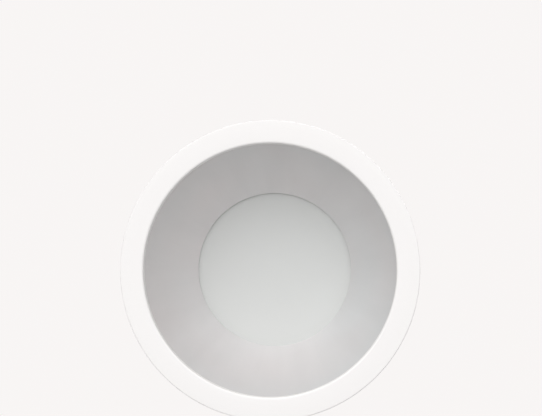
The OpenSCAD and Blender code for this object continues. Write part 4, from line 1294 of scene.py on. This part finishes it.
@dataclass
class ClipPins:
    """The riveted pins of the three clips."""

    clips: list[Clip]
    half: float = 0.010
    radius: float = 0.0015
    head_r: float = 0.0022
    head_h: float = 0.0008
    rim: float = 0.97

    def build(self) -> None:
        """Builds one pin with domed heads and copies it."""
        dome = [(r, self.half + z) for r, z in domed(self.head_r, self.head_h, share=0.35, step=18, count=5)]
        rim = [(self.radius, self.half), (self.head_r * self.rim, self.half)]
        upper = [*rim, *dome, (0.0, self.half + self.head_h)]
        lower = [(r, -z) for r, z in reversed(upper)]
        pin = turned("pin", [*lower, *upper], "screw_steel", segments=32)
        spots = []
        for clip in self.clips:
            spots.append((tuple(clip.frame().translation), (-math.pi / 2, 0.0, math.radians(clip.angle))))
        made = copied("clip_pins_riveted", pin, spots, "screw_steel")
        settled(made, "clip_pins")


@dataclass
class HeatSink:
    """The cast heat sink: a turned body, tapered fins in a ring and four posts."""

    fins: int = 30
    fin_t: float = 0.0018
    fin_root_r: float = 0.0125
    fin_r: float = 0.066
    base_z: float = 0.078
    base_top: float = 0.084
    flange_z: float = 0.061
    flange_top: float = 0.064
    flange_r: float = 0.0685
    press_r: float = 0.0572
    press_in: float = 0.053
    press_z: float = 0.0572
    skirt_r: float = 0.060
    hub_r: float = 0.014
    hole_r: float = 0.0045
    top_z: float = 0.108
    fin_top: float = 0.1075
    fin_taper: float = 0.14
    fin_sunk: float = 0.0004
    fin_soft: float = 0.00045
    post_r: float = 0.0045
    post_sunk: float = 0.0005
    post_flare: tuple[Flat, ...] = ((0.0012, 0.0), (0.0003, 0.0018), (0.0, 0.004))
    post_soft: float = 0.0004
    gasket_r: float = 0.0685
    gasket_in: float = 0.0575
    gasket_t: float = 0.001
    screw_ring_r: float = 0.064
    screw_hole_r: float = 0.0022
    soft: float = 0.0006

    def fin(self) -> bpy.types.Object:
        """Builds one fin: thinner towards its top, its edges rounded.

        Returns:
            The fin, to be copied.
        """
        base, low = self.base_top - self.fin_sunk, self.flange_top - self.fin_sunk
        step = self.skirt_r - self.fin_sunk
        corners = [
            (self.fin_root_r, base),
            (step, base),
            (step, low),
            (self.fin_r, low),
            (self.fin_r, self.fin_top),
            (self.fin_root_r, self.fin_top),
        ]
        made = bmesh.new()
        sides = []
        for sign in (-1, 1):
            row = []
            for x, z in corners:
                thin = 1.0 - self.fin_taper * (z - self.flange_top) / (self.fin_top - self.flange_top)
                row.append(made.verts.new((x, sign * self.fin_t / 2 * thin, z)))
            sides.append(row)
        made.faces.new(sides[0])
        made.faces.new(sides[1][::-1])
        for i in range(len(corners)):
            made.faces.new((sides[0][i], sides[0][i - 1], sides[1][i - 1], sides[1][i]))
        bmesh.ops.recalc_face_normals(made, faces=made.faces)
        end, top = self.fin_r - 10 * TINY, self.fin_top - 10 * TINY
        edges = [e for e in made.edges if all(v.co.x > end or v.co.z > top for v in e.verts)]
        kind = {"offset_type": "OFFSET", "segments": 3, "profile": 0.5, "affect": "EDGES"}
        bmesh.ops.bevel(made, geom=edges, offset=self.fin_soft, **kind)
        return shaped("fin", made)

    def post(self) -> list[Flat]:
        """Gives the outline of a post, with its flared foot.

        Returns:
            The outline, from the foot up.
        """
        low, top, r = self.base_top - self.post_sunk, self.top_z, self.post_r
        foot = [(0.0, low), *((r + wider, low + up) for wider, up in self.post_flare)]
        return [*foot, (r, top - self.post_soft), (r - self.post_soft, top), (0.0, top)]

    def gasket(self) -> None:
        """Cuts the ring that lies below the flange, with its screw holes."""
        loops = [round_loop((0.0, 0.0), r, steps=32) for r in (self.gasket_r, self.gasket_in)]
        for angle in SCREW_ANGLES:
            loops.append(round_loop(at_angle(self.screw_ring_r, angle, 0.0)[:2], self.screw_hole_r))
        low, high = self.flange_z - self.gasket_t, self.flange_z
        made = plate("housing_ring", loops, low, high, "silicone", soft=0.0002)
        settled(made, "housing_gasket")

    def build(self) -> None:
        """Builds body, fins, posts and gasket."""
        black = "black_heat_sink"
        corners = [
            (self.hole_r, self.base_z),
            (self.press_in, self.base_z),
            (self.press_in, self.press_z),
            (self.press_r, self.press_z),
            (self.press_r, self.flange_z),
            (self.flange_r, self.flange_z),
            (self.flange_r, self.flange_top),
            (self.skirt_r, self.flange_top),
            (self.skirt_r, self.base_top),
            (self.hub_r, self.base_top),
            (self.hub_r, self.top_z),
            (self.hole_r, self.top_z),
        ]
        body = turned("heat_sink_body", softened(corners, self.soft), black, segments=128)
        settled(body, "heat_sink")
        settled(ringed("heat_sink_fins", self.fin(), self.fins, black))
        post = turned("post", self.post(), black, segments=32)
        settled(copied("heat_sink_posts", post, upright(POSTS, 0.0), black))
        self.gasket()


@dataclass
class LightBoard:
    """The rings of light chips behind the lens."""

    rings: tuple[tuple[int, float, float], ...] = ((8, 0.018, 22.5), (14, 0.026, 0.0), (18, 0.033, 10.0))
    board_z: float = 0.076
    chip: Point = (0.0028, 0.0035, 0.0007)
    chip_rim: float = 0.00035
    chip_dip: float = 0.0002
    pad_z: tuple[float, float] = (0.0776, 0.078)
    pad_r: float = 0.043
    pad_hole_r: float = 0.0035
    screw_ring_r: float = 0.038
    screw_hole_r: float = 0.0017

    def pad(self) -> None:
        """Cuts the pad that takes the board's heat to the heat sink."""
        loops = [round_loop((0.0, 0.0), r, steps=24) for r in (self.pad_r, self.pad_hole_r)]
        for angle in BOARD_SCREW_ANGLES:
            loops.append(round_loop(at_angle(self.screw_ring_r, angle, 0.0)[:2], self.screw_hole_r, steps=6))
        made = plate("board_pad", loops, *self.pad_z, "thermal_pad", soft=0.0001)
        settled(made, "thermal_pad")

    def one_chip(self) -> bpy.types.Object:
        """Builds one chip, its phosphor a little below its rim.

        Returns:
            The chip, to be copied.
        """
        made = bmesh.new()
        bmesh.ops.create_cube(made, size=1.0)
        bmesh.ops.scale(made, vec=self.chip, verts=made.verts)
        bmesh.ops.translate(made, vec=(0, 0, -self.chip[2] / 2), verts=made.verts)
        low = [f for f in made.faces if f.normal.z < -0.9]
        bmesh.ops.inset_region(made, faces=low, thickness=self.chip_rim, depth=0.0)
        bmesh.ops.translate(made, vec=(0, 0, self.chip_dip), verts=[v for f in low for v in f.verts])
        return shaped("chip", made)

    def build(self) -> None:
        """Builds the pad and the rings of chips."""
        self.pad()
        places, phosphor = ("inner", "middle", "outer"), "phosphor"
        for place, (count, radius, first), nodes in zip(places, self.rings, (["led_chips"], [], [])):
            chip = self.one_chip()
            ring = ringed(f"led_chips_{place}", chip, count, phosphor, radius, self.board_z, first)
            settled(ring, *nodes)


@dataclass
class Wiring:
    """Leads, grommets, rivets and the wound choke of the driver."""

    lead_r: float = 0.0011
    lead_y: float = 0.0016
    board_z: float = 0.074
    lead_z: float = 0.1201
    low_bend: float = 0.003
    high_bend: float = 0.004
    end_x: float = -0.013
    plug_x: float = 0.010
    straight: Flat = (0.006, -0.008)
    supply_y: tuple[float, float] = (0.006, 0.013)
    supply_end: float = 0.034
    plate_z: float = 0.108
    floor_z: float = 0.111
    cable_z: float = 0.123
    grommet_x: float = 0.0605
    wall: float = 0.0015
    lead_grommet: tuple[float, float, float, float] = (0.0032, 0.0053, 0.0074, 0.0014)
    cable_grommet: tuple[float, float, float, float] = (0.0045, 0.0064, 0.0082, 0.002)
    rivet_places: tuple[Flat, ...] = ((-46, 0), (-20, -9), (30, -14), (54, -18))
    rivet: Point = (0.0015, 0.003, 0.0012)
    rivet_rim: float = 0.97
    rivet_hole: Flat = (0.0009, 0.0007)
    choke: Point = (-0.020, -0.015, 0.1187)
    choke_r: float = 0.0046
    choke_wire: float = 0.00032
    choke_over: float = 0.00226
    choke_turns: int = 26
    choke_share: float = 0.92
    transformer_x: float = -0.036
    wound_half: Flat = (0.009, 0.0077)
    wound_hole: Flat = (0.0052, 0.0037)
    wound_corner: float = 0.003
    wound_z: tuple[float, float] = (0.1196, 0.1304)
    wire: float = 0.0003

    def light_leads(self) -> None:
        """Bends the two leads from the driver's board down to the light board."""
        low = arc((self.low_bend, self.board_z + self.low_bend), self.low_bend, 270, 180, 10)
        high = arc((-self.high_bend, self.lead_z - self.high_bend), self.high_bend, 0, 90, 12)
        drop = low[-1][1] - high[0][1]
        line = [
            (self.plug_x, self.board_z),
            (self.straight[0], self.board_z),
            *low,
            *((0.0, low[-1][1] - drop * i / 10) for i in range(1, 10)),
            *high,
            (self.straight[1], self.lead_z),
            (self.end_x, self.lead_z),
        ]
        for letter, y, nodes in zip("ab", (-self.lead_y, self.lead_y), (["led_leads"], [])):
            lead = swept(f"light_lead_{letter}", [(x, y, z) for x, z in line], self.lead_r, "lead_insulation")
            settled(lead, *nodes)

    def supply_leads(self) -> None:
        """Lays the two leads from the driver's board to the terminal block."""
        count = 12
        step = (self.supply_end - self.end_x) / count
        for letter, y, nodes in zip("ab", self.supply_y, (["supply_leads"], [])):
            path = [(self.end_x + step * i, y, self.lead_z) for i in range(count + 1)]
            lead = swept(f"supply_lead_{letter}", path, self.lead_r, "lead_insulation", sides=16)
            settled(lead, *nodes)

    def grommets(self) -> None:
        """Moulds the grommets of the leads and of the supply cable."""
        (bore, waist, lip, side), floor = self.lead_grommet, self.floor_z
        top = floor + side
        corners = [(bore, self.plate_z), (waist, self.plate_z), (waist, floor)]
        corners += [(lip, floor), (lip, top), (bore, top)]
        lead = turned("lead_grommet_moulded", softened(corners, radius=0.0005), "black_rubber", segments=48)
        settled(lead, "lead_grommet")
        bore, waist, lip, side = self.cable_grommet
        inside, end = side + self.wall, 2 * side + self.wall
        corners = [(bore, 0.0), (lip, 0.0), (lip, side), (waist, side)]
        corners += [(waist, inside), (lip, inside), (lip, end), (bore, end)]
        place, turn = (self.grommet_x, 0.0, self.cable_z), (0.0, math.pi / 2, 0.0)
        ring = softened(corners, radius=0.0006)
        cable = turned("cable_grommet_moulded", ring, "black_rubber", 64, place, turn)
        settled(cable, "cable_grommet")

    def rivets(self) -> None:
        """Sets the domed blind rivets that hold both boxes to the plate."""
        (shank, head, crown), (mouth, bore), low = self.rivet, self.rivet_hole, self.plate_z - self.floor_z
        hole = [(mouth, crown), (bore, crown / 2)]
        dome = domed(head, crown, share=0.25, step=15, count=6)
        rim = [(bore, low), (shank, low), (shank, 0.0), (head * self.rivet_rim, 0.0)]
        rivet = turned("rivet", [*rim, *dome, *hole], "screw_steel", segments=32)
        spots = upright(((x * MM, y * MM) for x, y in self.rivet_places), self.floor_z)
        made = copied("mounting_rivets_set", rivet, spots, "screw_steel")
        settled(made, "mounting_rivets")

    def wound_choke(self) -> None:
        """Winds the choke: enamelled wire round a ring core."""
        per_turn, over = 12, self.choke_over
        count = self.choke_turns * per_turn
        x, y, z = self.choke
        path = []
        for i in range(count + 1):
            minor, major = math.tau * i / per_turn, math.tau * self.choke_share * i / count
            r = self.choke_r + over * math.cos(minor)
            path.append((x + r * math.cos(major), y + r * math.sin(major), z + over * math.sin(minor)))
        winding = swept("choke_winding", path, self.choke_wire, "enamelled_copper", sides=8)
        settled(winding, "input_choke")
        core = arc((self.choke_r, 0.0), over - self.choke_wire, 0, 345, 23)
        settled(turned("choke_core", core, "ferrite", 64, self.choke))

    def transformer(self) -> None:
        """Winds the transformer: a taped body with insulated wire laid round it."""
        centre, wire = (self.transformer_x, 0.0), self.wire
        size = (self.wound_half[0] - wire, self.wound_half[1] - wire), self.wound_corner - wire
        body = [rounded_loop(centre, *size), rounded_loop(centre, self.wound_hole, radius=0.0002, steps=2)]
        made = plate("transformer_body", body, *self.wound_z, "winding_tape", soft=0.0003)
        settled(made, "transformer_winding")
        loop = rounded_loop(centre, *size, steps=6)
        low, high = self.wound_z[0] + wire, self.wound_z[1] - wire
        count = int((high - low) / (2 * wire)) * len(loop)
        path = [(*loop[i % len(loop)], low + (high - low) * i / count) for i in range(count + 1)]
        settled(swept("transformer_wire", path, wire, "winding_tape", sides=8))

    def build(self) -> None:
        """Builds all of it."""
        self.transformer()
        self.light_leads()
        self.supply_leads()
        self.grommets()
        self.rivets()
        self.wound_choke()


@dataclass
class CarriedNodes:
    """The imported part's own nodes: each gets the finish of its slot."""

    nodes: dict[str, bpy.types.Object]
    slots: dict[str, str]

    def dress(self) -> None:
        """Gives each node its material."""
        for name, node in sorted(self.nodes.items()):
            finish = FINISHES[self.slots[name]]
            node.data.materials.clear()
            node.data.materials.append(finish.material())
            if not node.hide_render:
                log.info("%s: carried over as %s", name, finish.name)


@dataclass
class Studio:
    """Floor, world, lamps and camera."""

    camera_at: Point = (0.053, -0.007, -0.904)
    aim: Point = (0.0006, -0.0374, 0.002)
    focal: float = 99.9
    sensor: float = 36.0
    floor_z: float = -1.35
    floor_half: float = 30.0
    floor_colour: Colour = (0.86, 0.86, 0.85)
    backdrop: Colour = (0.939, 0.915, 0.907)
    floor_glow: float = 0.24
    fill: float = 0.42
    lamp_angle: float = 65.0
    lamps: tuple[tuple[Point, float], ...] = (((0.5, -0.6, 1.0), 1.2), ((-0.11, -0.68, -1.0), 2.3))

    def seen(self, graph: Graph) -> Value:
        """Makes a mask that is 1 for what camera, gloss and glass see, and 0 for what lights the scene.

        Args:
            graph: The tree that it goes in.

        Returns:
            The mask.
        """
        rays = graph.node("ShaderNodeLightPath").outputs
        ways = ("Camera", "Glossy", "Transmission")
        camera, gloss, glass = (Value(graph, rays[f"Is {way} Ray"]) for way in ways)
        return graph.math("MAXIMUM", graph.math("MAXIMUM", camera, gloss), glass)

    def world(self) -> None:
        """Lights the scene evenly, and shows a pale backdrop to camera, gloss and glass."""
        made = bpy.data.worlds.new("studio")
        bpy.context.scene.world = made
        made.use_nodes = True
        made.node_tree.nodes.clear()
        graph = Graph(made.node_tree)
        seen = self.seen(graph)
        light = graph.value("ShaderNodeBackground", None, {"Strength": self.fill, "Color": (1.0,) * 4})
        shown = graph.value("ShaderNodeBackground", None, {"Strength": 1.0, "Color": (*self.backdrop, 1.0)})
        both = graph.value("ShaderNodeMixShader", None, {0: seen, 1: light, 2: shown})
        graph.node("ShaderNodeOutputWorld", None, {"Surface": both})

    def floor(self) -> None:
        """Lays a pale floor far below the light, beyond the camera."""
        half, z = self.floor_half, self.floor_z
        mesh = bpy.data.meshes.new("floor")
        mesh.from_pydata([(x * half, y * half, z) for x, y in BOX_CORNERS], [], [(0, 1, 2, 3)])
        pale = Finish("floor_pale", self.floor_colour, 0.8, 0.0, Grain.SMOOTH, 0.02, 1e-4, 0.01, 0.8, 0.03)
        made = pale.material()
        graph = Graph(made.node_tree)
        glow = tuple(c * self.floor_glow for c in self.backdrop)
        shader = made.node_tree.nodes["Principled BSDF"].inputs
        shader["Emission Strength"].default_value = 1.0
        shown = graph.mix(self.seen(graph), (0.0, 0.0, 0.0), glow)
        made.node_tree.links.new(shown.socket, shader["Emission Color"])
        mesh.materials.append(made)
        laid = linked("floor", mesh)
        laid.visible_diffuse = laid.visible_shadow = False

    def light(self) -> None:
        """Hangs two soft lamps: one above the ceiling, and one below that reaches into the recess."""
        for place, power in self.lamps:
            lamp = bpy.data.lights.new("lamp", "SUN")
            lamp.angle, lamp.energy = math.radians(self.lamp_angle), power
            hung = linked(lamp.name, lamp)
            hung.location = place
            hung.rotation_euler = (-Vector(place)).to_track_quat("-Z", "Y").to_euler()
            hung.visible_camera = False

    def camera(self) -> None:
        """Sets the camera below the light, looking up, with -Y at the top of the image."""
        lens = bpy.data.cameras.new("camera")
        lens.sensor_width, lens.lens = self.sensor, self.focal
        made = linked("camera", lens)
        place = Vector(self.camera_at)
        back = (place - Vector(self.aim)).normalized()
        right = Vector((0.0, -1.0, 0.0)).cross(back).normalized()
        up = back.cross(right)
        turn = Matrix((right, up, back)).transposed()
        made.matrix_world = Matrix.Translation(place) @ turn.to_4x4()
        bpy.context.scene.camera = made

    def build(self) -> None:
        """Sets up all of it."""
        self.world()
        self.floor()
        self.light()
        self.camera()
        bpy.context.scene.view_settings.view_transform = "Standard"
        log.info("studio: floor, world, %d lamps and camera", len(self.lamps))


@dataclass
class Screws:
    """All screws of the light. Heights are where their heads stand."""

    clips: list[Clip]
    trim_r: float = 0.0786
    trim_z: float = 0.026
    plate_z: float = 0.1095
    cover_z: float = 0.139
    clamp_z: float = 0.129
    block_z: float = 0.116
    board_z: float = 0.1161

    def sets(self) -> list[ScrewSet]:
        """Lists the screws, node by node.

        Returns:
            One set for each node of screws.
        """
        cover = [(x * MM, y * MM) for x in (8.8, -59.8) for y in (-20.8, 20.8)]
        board = [(x * MM, y * MM) for x, y in ((-50, -9), (-50, 9), (-12, -20), (-12, 20))]
        clamp = [(54 * MM, y * MM) for y in (-9.3, 9.3)]
        block = [(37 * MM, y * MM) for y in (9.5, 16.5)]
        sink = ring_of(HeatSink.screw_ring_r, SCREW_ANGLES, HeatSink.flange_top)
        lights = ring_of(LightBoard.screw_ring_r, BOARD_SCREW_ANGLES, LightBoard.board_z, down=True)
        # Node, thread's diameter, shank's length, places
        rows = (
            ("trim_screws", 0.0025, 0.0285, ring_of(self.trim_r, SCREW_ANGLES, self.trim_z)),
            ("heat_sink_screws", 0.004, 0.010, sink),
            ("clip_bracket_screws", 0.003, 0.0062, [spot for clip in self.clips for spot in clip.screws()]),
            ("driver_plate_screws", 0.004, 0.013, upright(POSTS, self.plate_z)),
            ("driver_cover_screws", 0.0025, 0.011, upright(cover, self.cover_z)),
            ("cable_clamp_screws", 0.003, 0.0166, upright(clamp, self.clamp_z)),
            ("terminal_block_screws", 0.002, 0.0075, upright(block, self.block_z)),
            ("led_board_screws", 0.003, 0.006, lights),
            ("driver_board_screws", 0.002, 0.0051, upright(board, self.board_z)),
        )
        return [ScrewSet(node, Fastener(diameter, length), spots) for node, diameter, length, spots in rows]

    def build(self) -> None:
        """Builds them set by set."""
        for screws in self.sets():
            screws.build()


def main() -> None:
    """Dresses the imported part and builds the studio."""
    logging.basicConfig(level=logging.INFO, format="%(message)s")
    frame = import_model()
    Studio().build()
    TrimRing().build()
    Optics().build()
    HeatSink().build()
    LightBoard().build()
    clips = [Clip(i + 1, angle) for i, angle in enumerate(CLIP_ANGLES)]
    for clip in clips:
        clip.build()
    ClipPins(clips).build()
    Screws(clips).build()
    Wiring().build()
    slots = {row["node"]: row["material_slot"] for row in frame["record"]["subparts"]}
    CarriedNodes(frame["nodes"], slots).dress()


if __name__ == "__main__":
    main()
